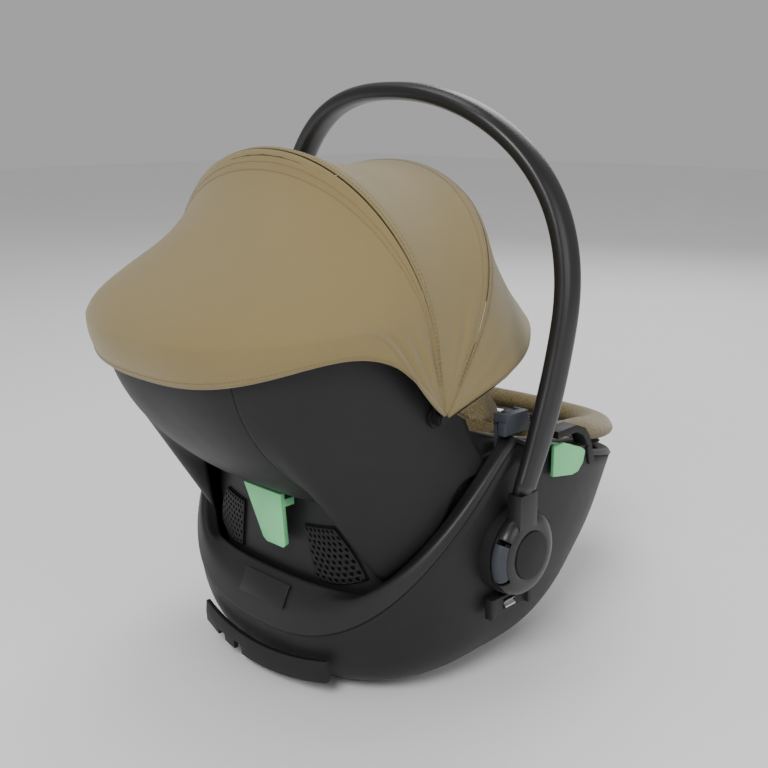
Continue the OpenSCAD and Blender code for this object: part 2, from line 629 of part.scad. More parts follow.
// Fabric line over a bow, from one pivot over the arch to the other; u runs from -1 to 1
cloth_gap = 4.2;
cloth_w = bow_x[2] + bow_t + 2.2;
function cloth_line(u, reach, lean) = let (leg = 0.16, low = clamp01((1 - abs(u))/leg),
        a = 90*min(1, abs(u)/(1 - leg)))
    lean_pt(low < 1 ? [sign(u)*cloth_w, arch_root*low]
        : arch_pt(sign(u)*a, cloth_w, reach + cloth_gap, arch_root), lean);
cu = 32;                          // strips across the canopy
hem_h = head_h - 40;              // height of the hem at the head end
hem_rise = 55;                    // how far the hem arches up at each side of the head
function hem_pt(u) = let (
        p = rim_pt(90*u, cloth_w + 2, head_reach + 11 - pivot_y, 0, 0, 0, 0, 2.6, 1, 1, 1, pivot_y),
        c = pow(max(0, cos(90*u)), 2/2.4))
    [p[0], p[1], pivot_z - 4 + (hem_h - pivot_z + 4)*c + hem_rise*sin(180*pow(c, 0.78))];
function bulge_pt(u) = let (
        p = rim_pt(90*u, cloth_w + 6, head_reach + 24 - pivot_y, 0, 0, 0, 0, 2.5, 1, 1, 1, pivot_y),
        c = pow(max(0, cos(90*u)), 2/2.4))
    [p[0], p[1], mix(pivot_z + 2, head_h, ease(2.2*c)) + 14*sin(180*pow(c, 0.7))];
// Rear panel: from the rear bow in a shallow hollow down to the bulge, and round it to the hem
function rear_pt(u, v) = let (p = cloth_line(u, bow_1_reach, bow_1_lean), b = bulge_pt(u), h = hem_pt(u),
        out = unit([b[0], b[1] - pivot_y, 0]), drop = max(0, p[2] - b[2]))
    v <= 0.8
        ? let (t = v/0.8, s = 1 - t, c1 = mix(p, b, 0.20) - 0.30*drop*[0, 0, 1] - 0.06*drop*out,
               c2 = b + [0, 0, 0.36*drop] - 0.12*drop*out)
            s*s*s*p + 3*s*s*t*c1 + 3*s*t*t*c2 + t*t*t*b
        : let (t = (v - 0.8)/0.2, s = 1 - t, c = b - [0, 0, 0.6*(b[2] - h[2])])
            s*s*b + 2*s*t*c + t*t*h;
function cloth_us(n) = [for (i = [0:n]) let (u = -1 + 2*i/n) u];
module canopy_rear() {
    g = [for (u = cloth_us(cu)) [for (j = [0:9]) rear_pt(u*0.995, 0.04 + 0.96*j/9)]];
    color(taupe) slab(grid_offset(g, -cloth_t), g);
}
function span_pt(u, v, r0, l0, r1, l1, sag) =
    let (p = cloth_line(u, r0, l0), q = cloth_line(u, r1, l1),
         lean = mix(l0, l1, v), m = mix(r0, r1, v),
         arc = cloth_line(u, m, lean), chord = mix(p, q, v))
    mix(arc, chord, sag*(1 - pow(2*v - 1, 4)));
module canopy_span(r0, l0, r1, l1, v0, v1) {
    g = [for (u = cloth_us(cu)) [for (j = [0:4]) span_pt(u*0.985, mix(v0, v1, j/4), r0, l0, r1, l1, 1.35)]];
    color(taupe) slab(grid_offset(g, -cloth_t), g);
}
module canopy_middle() {
    canopy_span(bow_2_reach, -bow_2_lean, bow_1_reach, bow_1_lean, 0.02, 0.98);
}
module canopy_visor() {
    canopy_span(bow_3_reach, -bow_3_lean, bow_2_reach, -bow_2_lean, 0.0, 0.98);
}

// ---- adapter release and sockets ----
trig_y = -8;
trig_z = rim_side_h + 7.5;        // just above the band
module adapter_trigger() {
    color(slate) translate([half_w - 12, trig_y, trig_z]) {
        difference() {
            union() {
                translate([-1, -20, 0]) cube([9, 40, 13]);
                translate([-9, -17, 12]) cube([17, 34, 9]);
            }
            for (y = [-9, 9]) translate([-10, y - 3, 14.5]) cube([9, 6, 8]);
        }
        // stem over the gap between the band and the seat shell
        translate([-10.5, -14, -17]) cube([3.5, 28, 30]);
    }
}
module adapter_sockets() {
    color(dark) both_sides() translate([half_w - 4, 0, 0]) difference() {
        translate([-2, -34, hub_h - hub_r - 24]) cube([9, 68, 22]);
        translate([2.5, -26, hub_h - hub_r - 25]) cube([8, 52, 20]);
        translate([-3, -9, hub_h - hub_r - 20]) cube([8, 18, 10]);
    }
}
module adapter_pawl() {
    color(steel) translate([half_w - 4, 0, hub_h - hub_r - 15]) difference() {
        translate([-1.6, -8, -4]) cube([6.1, 16, 8]);
        translate([1.5, -9, 0]) rotate([0, 35, 0]) cube([10, 18, 6]);
    }
}

// ---- base release grip ----
grip_half = 99;                   // half the width of the grip
grip_y = base_rear + 4;           // outer face of the grip in the middle
function grip_line(x, dy, z) = let (e = pow(abs(x)/grip_half, 2)) [x, grip_y - 10*e + dy, z + 12*e];
module release_grip() {
    xs = [for (k = [0:16]) mix(-grip_half, grip_half, k/16)];
    color(black) difference() {
        slab([for (x = xs) [for (q = [[0, 11], [1, 22], [0, 35]]) grip_line(x, q[0], q[1])]],
            [for (x = xs) [for (q = [[-5, 11], [-5, 22], [-5, 35]]) grip_line(x, q[0], q[1])]]);
        for (x = [26, 58]) translate([x, grip_y - 12, 9]) cube([13, 16, 14]);
    }
}
module grip_spring() {
    color(steel) for (s = [-1, 1]) translate([s*50, base_rear - 19, 14]) rotate([-90, 0, 0])
        difference() {
            cylinder(r = 4, h = 6);
            translate([0, 0, -1]) cylinder(r = 3, h = 8);
        }
}
module shell_screws() {
    for (x = [-60, 60], y = [-40, 60]) color(steel) translate([x, y, base_foot + shell_t + 0.2]) {
        cylinder(r = 3.5, h = 2);
        cylinder(r = 1.8, h = 10);
    }
}

base_shell();
rim_band();
badge_plate();
rest_feet();
seat_shell();
seat_pan();
back_cover();
side_cover();  // side_cover_left
mirror([1, 0, 0]) side_cover();  // side_cover_right
vent_panel();  // vent_panel_left
mirror([1, 0, 0]) vent_panel();  // vent_panel_right
shoulder_belt_guide();
lap_belt_guide();  // lap_belt_guide_left
mirror([1, 0, 0]) lap_belt_guide();  // lap_belt_guide_right
belt_arch();  // belt_arch_left
mirror([1, 0, 0]) belt_arch();  // belt_arch_right
foam_liner();
seat_cover();
rim_pad();
side_wing();  // side_wing_left
mirror([1, 0, 0]) side_wing();  // side_wing_right
lumbar_insert();
headrest();
shoulder_straps();
shoulder_pads();
crotch_strap();
crotch_pad();
buckle_body();
buckle_button();
buckle_tongues();
adjuster_housing();
adjuster_button();
adjuster_strap();
hub_bearings();
pivot_pins();
hub();  // hub_left
mirror([1, 0, 0]) hub();  // hub_right
hub_caps();
carry_bar();
hub_button();  // hub_button_left
mirror([1, 0, 0]) hub_button();  // hub_button_right
lock_gear();  // lock_gear_left
mirror([1, 0, 0]) lock_gear();  // lock_gear_right
lock_springs();
canopy_clips();
canopy_pins();
rear_bow();
middle_bow();
visor_bow();
canopy_rear();
canopy_middle();
canopy_visor();
adapter_trigger();  // adapter_trigger_left
mirror([1, 0, 0]) adapter_trigger();  // adapter_trigger_right
adapter_sockets();
adapter_pawl();  // adapter_pawl_left
mirror([1, 0, 0]) adapter_pawl();  // adapter_pawl_right
release_grip();
grip_spring();
shell_screws();
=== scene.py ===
"""Infant car seat: smooth shells, fabrics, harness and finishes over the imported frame."""
import math
import bmesh
import bpy
import numpy as np
from mathutils import Matrix, Vector
from mathutils.bvhtree import BVHTree


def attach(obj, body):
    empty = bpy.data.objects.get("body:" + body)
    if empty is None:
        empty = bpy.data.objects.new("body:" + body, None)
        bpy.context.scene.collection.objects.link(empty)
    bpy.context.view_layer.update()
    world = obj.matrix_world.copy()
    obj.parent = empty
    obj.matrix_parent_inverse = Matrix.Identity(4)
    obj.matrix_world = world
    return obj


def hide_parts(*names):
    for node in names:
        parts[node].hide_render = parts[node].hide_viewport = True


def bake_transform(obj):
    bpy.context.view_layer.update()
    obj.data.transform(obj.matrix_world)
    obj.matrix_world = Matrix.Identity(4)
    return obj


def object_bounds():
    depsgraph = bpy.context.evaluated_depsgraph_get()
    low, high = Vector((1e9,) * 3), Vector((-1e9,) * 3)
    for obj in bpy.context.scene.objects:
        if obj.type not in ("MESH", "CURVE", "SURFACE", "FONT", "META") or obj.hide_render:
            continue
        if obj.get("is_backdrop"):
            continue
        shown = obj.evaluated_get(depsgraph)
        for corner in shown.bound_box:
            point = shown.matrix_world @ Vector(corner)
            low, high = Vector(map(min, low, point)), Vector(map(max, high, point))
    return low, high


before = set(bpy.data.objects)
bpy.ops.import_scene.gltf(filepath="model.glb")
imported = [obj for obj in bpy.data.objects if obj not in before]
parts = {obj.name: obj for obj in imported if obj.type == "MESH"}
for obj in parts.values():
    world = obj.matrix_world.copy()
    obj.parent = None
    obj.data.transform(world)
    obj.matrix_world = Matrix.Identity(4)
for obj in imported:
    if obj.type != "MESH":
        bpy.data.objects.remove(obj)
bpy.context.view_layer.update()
MM = 0.001

# ---------------------------------------------------------------- camera and light
scene = bpy.context.scene
lens = bpy.data.cameras.new("camera")
lens.lens = 50
lens.sensor_width = 36
camera = bpy.data.objects.new("camera", lens)
scene.collection.objects.link(camera)
right, up, back = (-0.7145, -0.6996, 0.0), (0.1766, -0.1803, 0.9676), (-0.6769, 0.6914, 0.2524)
camera.matrix_world = Matrix((
    (right[0], up[0], back[0], -0.8114),
    (right[1], up[1], back[1], 0.8078),
    (right[2], up[2], back[2], 0.5838),
    (0, 0, 0, 1)))
scene.camera = camera


def soft_light(name, place, aim, size, power, tint=(1, 1, 1)):
    data = bpy.data.lights.new(name, "AREA")
    data.shape = "DISK"
    data.size = size
    data.energy = power
    data.color = tint
    lamp = bpy.data.objects.new(name, data)
    lamp.location = place
    lamp.rotation_euler = (Vector(aim) - Vector(place)).to_track_quat("-Z", "Y").to_euler()
    scene.collection.objects.link(lamp)


soft_light("key", (-1.2, 2.3, 2.3), (0, 0.1, 0.3), 1.3, 66)
soft_light("side", (-2.6, -0.4, 1.2), (0, 0, 0.3), 1.6, 16)
soft_light("foot", (0.9, -2.4, 1.9), (0, 0, 0.25), 1.6, 24)
soft_light("top", (0.5, 0.2, 3.0), (0, 0, 0.3), 1.8, 22)
world = bpy.data.worlds.new("studio")
world.use_nodes = True
world.node_tree.nodes["Background"].inputs[0].default_value = (1, 1, 1, 1)
world.node_tree.nodes["Background"].inputs[1].default_value = 0.42
scene.world = world

# ---------------------------------------------------------------- sizes, in millimetres
HALF_W, REAR, FRONT = 202.0, 169.0, 325.0
HUB_H, HEAD_REACH, HEAD_H = 150.0, 280.0, 383.0
RIM_SIDE, CREASE_H, FOOT_H = 262.0, 60.0, 160.0
PIVOT_Y, PIVOT_Z = 90.0, 302.0
CLIP_X = HALF_W - 24
BOW_T = 2.4
BOW_X = [CLIP_X + 0.4 + k * (BOW_T + 0.4) for k in range(3)]
BOWS = [(243.0, 12.0), (256.0, -31.0), (250.0, -74.0)]
CLOTH_W = BOW_X[2] + BOW_T + 2.2
CLOTH_GAP = 4.2
HUB_IN = HALF_W + 8
HUB_T = 16.0
BAR_X = HUB_IN + HUB_T / 2
BAR_TOP, BAR_W, BAR_T, LEG_W = 599.0, 33.0, 19.0, 27.0


# ---------------------------------------------------------------- curves and grids
def sp(v, p):
    return np.sign(v) * np.abs(v) ** p


def mix(a, b, t):
    return a + (b - a) * t


def ease(t):
    t = np.clip(t, 0, 1)
    return t * t * (3 - 2 * t)


def unit(v):
    return v / np.maximum(np.linalg.norm(v, axis=-1, keepdims=True), 1e-9)


def hump(v, middle, width):
    """A smooth bump of height one round a middle value."""
    return np.exp(-((v - middle) / width) ** 2)


def rim(turn, w, yr, yf, zs, zr, zf, n=2.6, g=1.0, kr=1.2, kf=0.9, yc=0.0):
    """Points of a plan outline at the turns given in degrees, from the head end towards +X."""
    a = np.radians(turn)
    s = sp(np.sin(a), 2 / n)
    c = np.abs(np.cos(a)) ** (2 / n)
    head = np.cos(a) >= 0
    y = np.where(head, yc + yr * c, yc - yf * c)
    z = np.where(head, zs + (zr - zs) * np.minimum(1, g * c ** kr), zs + (zf - zs) * c ** kf)
    return np.stack([w * s, y, z], -1)


AROUND = np.linspace(0, 360, 144, endpoint=False)


def ring(*sizes, **shape):
    return rim(AROUND, *sizes, **shape)


def flow(rows, steps):
    """Rows of points joined by a smooth curve, with the given number of steps between rows."""
    rows = np.asarray(rows, float)
    m = len(rows)
    out = []
    for k in range(m - 1):
        p1, p2 = rows[k], rows[k + 1]
        p0 = rows[k - 1] if k else 2 * p1 - p2
        p3 = rows[k + 2] if k + 2 < m else 2 * p2 - p1
        for t in np.arange(steps) / steps:
            out.append(0.5 * (2 * p1 + (p2 - p0) * t + (2 * p0 - 5 * p1 + 4 * p2 - p3) * t ** 2
                              + (3 * p1 - p0 - 3 * p2 + p3) * t ** 3))
    out.append(rows[-1])
    return np.array(out)


def offset(grid, t):
    """A grid of points moved along its own normals."""
    du = np.gradient(grid, axis=0)
    dv = np.gradient(grid, axis=1)
    return grid + t * unit(np.cross(du, dv))


# ---------------------------------------------------------------- meshes
def build(name, points, faces, uvs=None, weld=0.00002):
    data = bpy.data.meshes.new(name)
    data.from_pydata([tuple(p) for p in np.asarray(points) * MM], [], faces)
    if uvs is not None:
        layer = data.uv_layers.new(name="UVMap")
        loops = np.zeros(len(data.loops), np.int32)
        data.loops.foreach_get("vertex_index", loops)
        layer.data.foreach_set("uv", (np.asarray(uvs, float) * MM)[loops].ravel())
    bm = bmesh.new()
    bm.from_mesh(data)
    bmesh.ops.remove_doubles(bm, verts=bm.verts, dist=weld)
    bmesh.ops.recalc_face_normals(bm, faces=bm.faces)
    for f in bm.faces:
        f.smooth = True
    bm.to_mesh(data)
    bm.free()
    piece = bpy.data.objects.new(name, data)
    scene.collection.objects.link(piece)
    return piece


def quads(m, n, wrap_rows=False, wrap_cols=False, start=0, turn=False):
    out = []
    for i in range(m if wrap_rows else m - 1):
        for j in range(n if wrap_cols else n - 1):
            q = (i + 1) % m
            r = (j + 1) % n
            f = [start + i * n + j, start + q * n + j, start + q * n + r, start + i * n + r]
            out.append(f[::-1] if turn else f)
    return out


def grid_uv(grid):
    across = np.linalg.norm(np.diff(grid, axis=0), axis=-1)
    along = np.linalg.norm(np.diff(grid, axis=1), axis=-1)
    u = np.vstack([np.zeros(grid.shape[1]), np.cumsum(across, 0)])
    v = np.hstack([np.zeros((grid.shape[0], 1)), np.cumsum(along, 1)])
    u = u - u.mean(0)
    return np.stack([u, v], -1).reshape(-1, 2)


def loft(name, rows, loop=False):
    """A closed skin through rings; the ends are closed by a fan unless the rings make a loop."""
    rows = np.asarray(rows)
    m, n, _ = rows.shape
    points = rows.reshape(-1, 3)
    faces = quads(m, n, wrap_rows=loop, wrap_cols=True)
    uvs = grid_uv(rows.transpose(1, 0, 2)).reshape(n, m, 2).transpose(1, 0, 2).reshape(-1, 2)
    if not loop:
        points = np.vstack([points, rows[0].mean(0), rows[-1].mean(0)])
        uvs = np.vstack([uvs, uvs[:n].mean(0), uvs[-n:].mean(0)])
        for j in range(n):
            r = (j + 1) % n
            faces.append([m * n, j, r])
            faces.append([m * n + 1, (m - 1) * n + r, (m - 1) * n + j])
    return build(name, points, faces, uvs)


def panel(name, outer, inner):
    """A closed sheet between two grids of points."""
    m, n, _ = outer.shape
    o = m * n
    faces = quads(m, n) + quads(m, n, start=o, turn=True)
    edge = [i * n for i in range(m)] + [(m - 1) * n + j for j in range(1, n)]
    edge += [i * n + n - 1 for i in range(m - 2, -1, -1)] + [j for j in range(n - 2, 0, -1)]
    for a, b in zip(edge, edge[1:] + edge[:1]):
        faces.append([a, b, b + o, a + o])
    uv = grid_uv(outer)
    return build(name, np.vstack([outer.reshape(-1, 3), inner.reshape(-1, 3)]), faces,
                 np.vstack([uv, uv]))


def apply_modifiers(piece):
    graph = bpy.context.evaluated_depsgraph_get()
    data = bpy.data.meshes.new_from_object(piece.evaluated_get(graph), depsgraph=graph)
    piece.modifiers.clear()
    old = piece.data
    piece.data = data
    bpy.data.meshes.remove(old)
    for f in piece.data.polygons:
        f.use_smooth = True
    return piece


def softened(node, name, width=0.9, segments=2):
    """A copy of a moulded part with its sharp edges rounded."""
    data = parts[node].data.copy()
    data.materials.clear()
    bm = bmesh.new()
    bm.from_mesh(data)
    bmesh.ops.remove_doubles(bm, verts=bm.verts, dist=0.00003)
    bmesh.ops.dissolve_limit(bm, angle_limit=math.radians(2), verts=bm.verts, edges=bm.edges)
    bm.to_mesh(data)
    bm.free()
    piece = bpy.data.objects.new(name, data)
    scene.collection.objects.link(piece)
    edge = piece.modifiers.new("edge", "BEVEL")
    edge.width = width * MM
    edge.segments = segments
    edge.limit_method = "ANGLE"
    edge.angle_limit = math.radians(38)
    edge.harden_normals = False
    apply_modifiers(piece)
    bm = bmesh.new()
    bm.from_mesh(piece.data)
    bmesh.ops.triangulate(bm, faces=[f for f in bm.faces if len(f.verts) > 4])
    bm.to_mesh(piece.data)
    bm.free()
    for e in piece.data.edges:
        e.use_edge_sharp = False
    piece.data.set_sharp_from_angle(angle=math.radians(32))
    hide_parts(node)
    return piece


def swell(piece, cap, voxel=5.0, pressure=4.0):
    """Cloth pressure rounds a padded piece; no point moves further than cap."""
    grid = piece.modifiers.new("grid", "REMESH")
    grid.mode = "VOXEL"
    grid.voxel_size = voxel * MM
    apply_modifiers(piece)
    rest = np.zeros(len(piece.data.vertices) * 3)
    piece.data.vertices.foreach_get("co", rest)
    cloth = piece.modifiers.new("cloth", "CLOTH")
    cloth.settings.use_pressure = True
    cloth.settings.uniform_pressure_force = pressure
    cloth.settings.effector_weights.gravity = 0
    cloth.settings.quality = 5
    cloth.settings.tension_stiffness = 20
    cloth.point_cache.frame_start = 1
    cloth.point_cache.frame_end = 20
    for f in range(1, 21):
        scene.frame_set(f)
    apply_modifiers(piece)
    now = np.zeros(len(rest))
    piece.data.vertices.foreach_get("co", now)
    move = (now - rest).reshape(-1, 3)
    size = np.linalg.norm(move, axis=1, keepdims=True)
    move *= np.minimum(1, cap * MM / np.maximum(size, 1e-9))
    piece.data.vertices.foreach_set("co", (rest.reshape(-1, 3) + move).ravel())
    scene.frame_set(1)
    smooth = piece.modifiers.new("smooth", "SUBSURF")
    smooth.levels = smooth.render_levels = 1
    return apply_modifiers(piece)


# ---------------------------------------------------------------- finishes
class Sock:
    """A shader socket that adds Math nodes when it is used in an expression."""

    def __init__(self, finish, link):
        self.finish = finish
        self.link = link

    def math(self, operation, other=None, first=False):
        values = [self] if other is None else [other, self] if first else [self, other]
        return self.finish.node("Math", {"operation": operation}, values)

    def __add__(self, other):
        return self.math("ADD", other)

    def __radd__(self, other):
        return self.math("ADD", other, True)

    def __sub__(self, other):
        return self.math("SUBTRACT", other)

    def __rsub__(self, other):
        return self.math("SUBTRACT", other, True)

    def __mul__(self, other):
        return self.math("MULTIPLY", other)

    def __rmul__(self, other):
        return self.math("MULTIPLY", other, True)

    def sin(self):
        return self.math("SINE")

    def abs(self):
        return self.math("ABSOLUTE")


class Finish:
    """A material that is built node by node."""

    def __init__(self, name):
        self.mat = bpy.data.materials.new(name)
        self.mat.use_nodes = True
        self.tree = self.mat.node_tree
        self.shader = self.tree.nodes["Principled BSDF"]

    def node(self, kind, settings=None, inputs=(), out=0):
        made = self.tree.nodes.new("ShaderNode" + kind)
        for key, value in (settings or {}).items():
            if key == "stops":
                while len(made.color_ramp.elements) < len(value):
                    made.color_ramp.elements.new(0.5)
                for stop, (place, colour) in zip(made.color_ramp.elements, value):
                    stop.position = place
                    stop.color = (*colour, 1)
            else:
                setattr(made, key, value)
        pairs = inputs.items() if isinstance(inputs, dict) else enumerate(inputs)
        for key, value in pairs:
            self.feed(made.inputs[key], value)
        return Sock(self, made.outputs[out])

    def feed(self, socket, value):
        if isinstance(value, Sock):
            self.tree.links.new(value.link, socket)
        elif value is not None:
            socket.default_value = value

    def object_place(self):
        return self.node("TexCoord", out="Object")

    def uv(self):
        return self.node("UVMap", {"uv_map": "UVMap"})

    def noise(self, scale, detail=2.0, rough=0.5, at=None, stretch=None):
        where = at or self.object_place()
        if stretch:
            where = self.node("Mapping", None, {"Vector": where, "Scale": stretch})
        return self.node("TexNoise", None, {"Vector": where, "Scale": scale, "Detail": detail,
                                            "Roughness": rough})

    def blend(self, share, a, b):
        return self.node("Mix", {"data_type": "RGBA"}, {0: share, 6: a, 7: b}, out=2)

    def bump(self, height, depth, strength=1.0):
        return self.node("Bump", None, {"Strength": strength, "Distance": depth, "Height": height})

    def surface(self, **values):
        names = {"color": "Base Color", "rough": "Roughness", "metal": "Metallic",
                 "normal": "Normal", "sheen": "Sheen Weight", "coat": "Coat Weight",
                 "coat_rough": "Coat Roughness", "specular": "Specular IOR Level",
                 "sheen_rough": "Sheen Roughness"}
        for key, value in values.items():
            self.feed(self.shader.inputs[names[key]], value)
        return self.mat


def shade(colour, k):
    return (*[min(1.0, c * k) for c in colour], 1)


def moulded(name, colour, rough=0.55, grain=0.00006, grain_scale=1900, specular=0.45, coat=0.0):
    """Moulded plastic: fine spark-eroded grain, faint flow variation and rubbed patches."""
    f = Finish(name)
    fine = f.noise(grain_scale, 2, 0.6)
    cloud = f.noise(9, 3, 0.55)
    rub = f.noise(38, 4, 0.65)
    tone = f.node("ValToRGB", {"stops": [(0.3, (0.86,) * 3), (0.7, (1.14,) * 3)]}, [cloud])
    base = f.node("Mix", {"data_type": "RGBA", "blend_type": "MULTIPLY"},
                  {0: 1.0, 6: shade(colour, 1), 7: tone}, out=2)
    speck = f.blend(fine * 0.22, base, shade(colour, 1.9))
    return f.surface(color=speck, rough=(rub - 0.5) * 0.12 + (fine - 0.5) * 0.1 + rough,
                     normal=f.bump(fine + rub * 0.35, grain, 0.75), specular=specular,
                     coat=coat, coat_rough=0.3)


def woven(name, dark, light, pitch=0.00105, depth=0.00013):
    """Taut plain-woven cloth: threads both ways on the piece's own lengths, with slub."""
    f = Finish(name)
    split = f.node("SeparateXYZ", None, [f.uv()])
    turn = 2 * math.pi / pitch
    u, v = split, Sock(f, split.link.node.outputs[1])
    slub = f.noise(240, 3, 0.6, at=f.uv(), stretch=(1, 7, 1))
    slub_2 = f.noise(240, 3, 0.6, at=f.uv(), stretch=(7, 1, 1))
    weft = (u * turn + slub * 2.5).sin()
    warp = (v * turn + slub_2 * 2.5).sin()
    thread = (weft * warp) * 0.5 + 0.5
    cloud = f.noise(14, 3, 0.5)
    yarn = f.noise(650, 2, 0.7)
    tone = f.blend(thread * 0.35 + slub * 0.3 + yarn * 0.35, (*dark, 1), (*light, 1))
    worn = f.blend(cloud * 0.35, tone, shade(light, 1.05))
    return f.surface(color=worn, rough=0.88 - yarn * 0.1,
                     normal=f.bump(thread + yarn * 0.7, depth, 0.7), sheen=0.25,
                     sheen_rough=0.5, specular=0.22)


def melange(name, dark, middle, light):
    """Knitted melange: flecks of three yarn colours over a soft loop relief."""
    f = Finish(name)
    fleck = f.noise(560, 3, 0.75, stretch=(1, 1.8, 1))
    cell = f.node("TexVoronoi", {"feature": "F1"}, {"Vector": f.object_place(), "Scale": 620.0},
                  out="Distance")
    tone = f.node("ValToRGB", {"stops": [(0.34, dark), (0.48, middle), (0.66, light)]},
                  [fleck * 0.75 + cell * 0.3])
    cloud = f.noise(22, 3, 0.5)
    wash = f.blend(cloud * 0.3, tone, (*middle, 1))
    return f.surface(color=wash, rough=0.93 - cell * 0.08,
                     normal=f.bump(cell + fleck * 0.8, 0.0005, 0.6), sheen=0.35,
                     sheen_rough=0.5, specular=0.15)


def belt_web(name, colour):
    """Woven strap: ribs across its length and threads along it."""
    f = Finish(name)
    split = f.node("SeparateXYZ", None, [f.uv()])
    v = Sock(f, split.link.node.outputs[1])
    rib = (v * (2 * math.pi / 0.0016)).sin()
    thread = (split * (2 * math.pi / 0.0011)).sin()
    yarn = f.noise(900, 2, 0.6)
    tone = f.blend(rib * 0.25 + yarn * 0.4 + 0.2, shade(colour, 0.6), shade(colour, 2.2))
    return f.surface(color=tone, rough=0.8 - yarn * 0.1,
                     normal=f.bump(rib + thread * 0.5 + yarn * 0.5, 0.00025, 0.8), sheen=0.2)


def brushed(name, colour, rough=0.32):
    """Turned or brushed steel with fine streaks."""
    f = Finish(name)
    streak = f.noise(700, 2, 0.6, stretch=(0.06, 1, 1))
    grime = f.noise(60, 3, 0.6)
    tone = f.blend(streak * 0.5 + grime * 0.2, shade(colour, 0.75), shade(colour, 1.15))
    return f.surface(color=tone, rough=rough + streak * 0.14, metal=1.0,
                     normal=f.bump(streak, 0.00003, 0.5))


def beaded_foam(name, colour):
    """Expanded bead foam."""
    f = Finish(name)
    bead = f.node("TexVoronoi", {"feature": "DISTANCE_TO_EDGE"},
                  {"Vector": f.object_place(), "Scale": 300.0}, out="Distance")
    dust = f.noise(90, 3, 0.6)
    tone = f.blend(dust * 0.5 + bead * 0.6, shade(colour, 0.75), shade(colour, 1.2))
    return f.surface(color=tone, rough=0.85 - bead * 0.1, normal=f.bump(bead, 0.0006, 0.6),
                     specular=0.25)


black_shell = moulded("black_shell", (0.0105, 0.0105, 0.0112), 0.52, specular=0.32)
black_band = moulded("black_band", (0.0125, 0.0125, 0.0132), 0.44, specular=0.4)
black_detail = moulded("black_detail", (0.008, 0.008, 0.0086), 0.56, specular=0.3)
satin_bar = moulded("satin_bar", (0.009, 0.009, 0.0096), 0.36, grain=0.00003, specular=0.5)
# Darkest black: the seat pan's own plastic, and painted shade on the dark sheets behind the vent holes.
pan_black_and_painted_shade = moulded("pan_black_and_painted_shade", (0.005, 0.005, 0.0054), 0.7, specular=0.2)
mint_guide = moulded("mint_guide", (0.19, 0.60, 0.27), 0.5, grain=0.00003, specular=0.3)
slate_button = moulded("slate_button", (0.036, 0.041, 0.05), 0.5, specular=0.35)
badge_face = moulded("badge_face", (0.013, 0.013, 0.0142), 0.4, grain=0.00002, specular=0.4)
signal_red = moulded("signal_red", (0.42, 0.03, 0.02), 0.35, grain=0.00002)
feet_rubber = moulded("feet_rubber", (0.02, 0.02, 0.02), 0.8, grain=0.00012, grain_scale=900)
canopy_cloth = woven("canopy_cloth", (0.176, 0.134, 0.056), (0.278, 0.216, 0.098))
seat_knit = melange("seat_knit", (0.070, 0.051, 0.021), (0.176, 0.135, 0.060), (0.31, 0.245, 0.12))
thread_tan = woven("thread_tan", (0.145, 0.11, 0.046), (0.235, 0.18, 0.08), 0.0004, 0.00005)
harness_web = belt_web("harness_web", (0.02, 0.02, 0.021))
steel_bright = brushed("steel_bright", (0.62, 0.62, 0.63))
liner_foam = beaded_foam("liner_foam", (0.075, 0.075, 0.08))


def finish_piece(piece, body, finish, slot, *stands_for):
    piece.data.materials.clear()
    piece.data.materials.append(finish)
    if body:
        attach(piece, body)
    if stands_for:
        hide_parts(*stands_for)
    return piece


def repaint(finish, *names):
    for n in names:
        data = parts[n].data
        data.materials.clear()
        data.materials.append(finish)


# ---------------------------------------------------------------- stitches along a path
def stitch_tree():
    """Node tree that lays one short thread after another along a curve."""
    tree = bpy.data.node_groups.new("stitches", "GeometryNodeTree")
    face = tree.interface
    face.new_socket("Path", in_out="INPUT", socket_type="NodeSocketGeometry")
    for label, value in (("Pitch", 0.0042), ("Thread length", 0.003), ("Thread radius", 0.0003)):
        face.new_socket(label, in_out="INPUT", socket_type="NodeSocketFloat").default_value = value
    face.new_socket("Thread", in_out="INPUT", socket_type="NodeSocketMaterial")
    face.new_socket("Stitches", in_out="OUTPUT", socket_type="NodeSocketGeometry")
    add = tree.nodes.new
    given, result = add("NodeGroupInput"), add("NodeGroupOutput")
    spots = add("GeometryNodeCurveToPoints")
    spots.mode = "LENGTH"
    bead = add("GeometryNodeMeshUVSphere")
    bead.inputs["Segments"].default_value = 6
    bead.inputs["Rings"].default_value = 4
    bead.inputs["Radius"].default_value = 1.0
    half = add("ShaderNodeMath")
    half.operation = "MULTIPLY"
    half.inputs[1].default_value = 0.5
    size = add("ShaderNodeCombineXYZ")
    lay = add("GeometryNodeInstanceOnPoints")
    real = add("GeometryNodeRealizeInstances")
    paint = add("GeometryNodeSetMaterial")
    link = tree.links.new
    link(given.outputs["Path"], spots.inputs["Curve"])
    link(given.outputs["Pitch"], spots.inputs["Length"])
    link(given.outputs["Thread length"], half.inputs[0])
    link(given.outputs["Thread radius"], size.inputs[0])
    link(given.outputs["Thread radius"], size.inputs[1])
    link(half.outputs[0], size.inputs[2])
    link(spots.outputs["Points"], lay.inputs["Points"])
    link(spots.outputs["Rotation"], lay.inputs["Rotation"])
    link(bead.outputs["Mesh"], lay.inputs["Instance"])
    link(size.outputs[0], lay.inputs["Scale"])
    link(lay.outputs[0], real.inputs[0])
    link(real.outputs[0], paint.inputs["Geometry"])
    link(given.outputs["Thread"], paint.inputs["Material"])
    link(paint.outputs[0], result.inputs[0])
    return tree


STITCHES = stitch_tree()


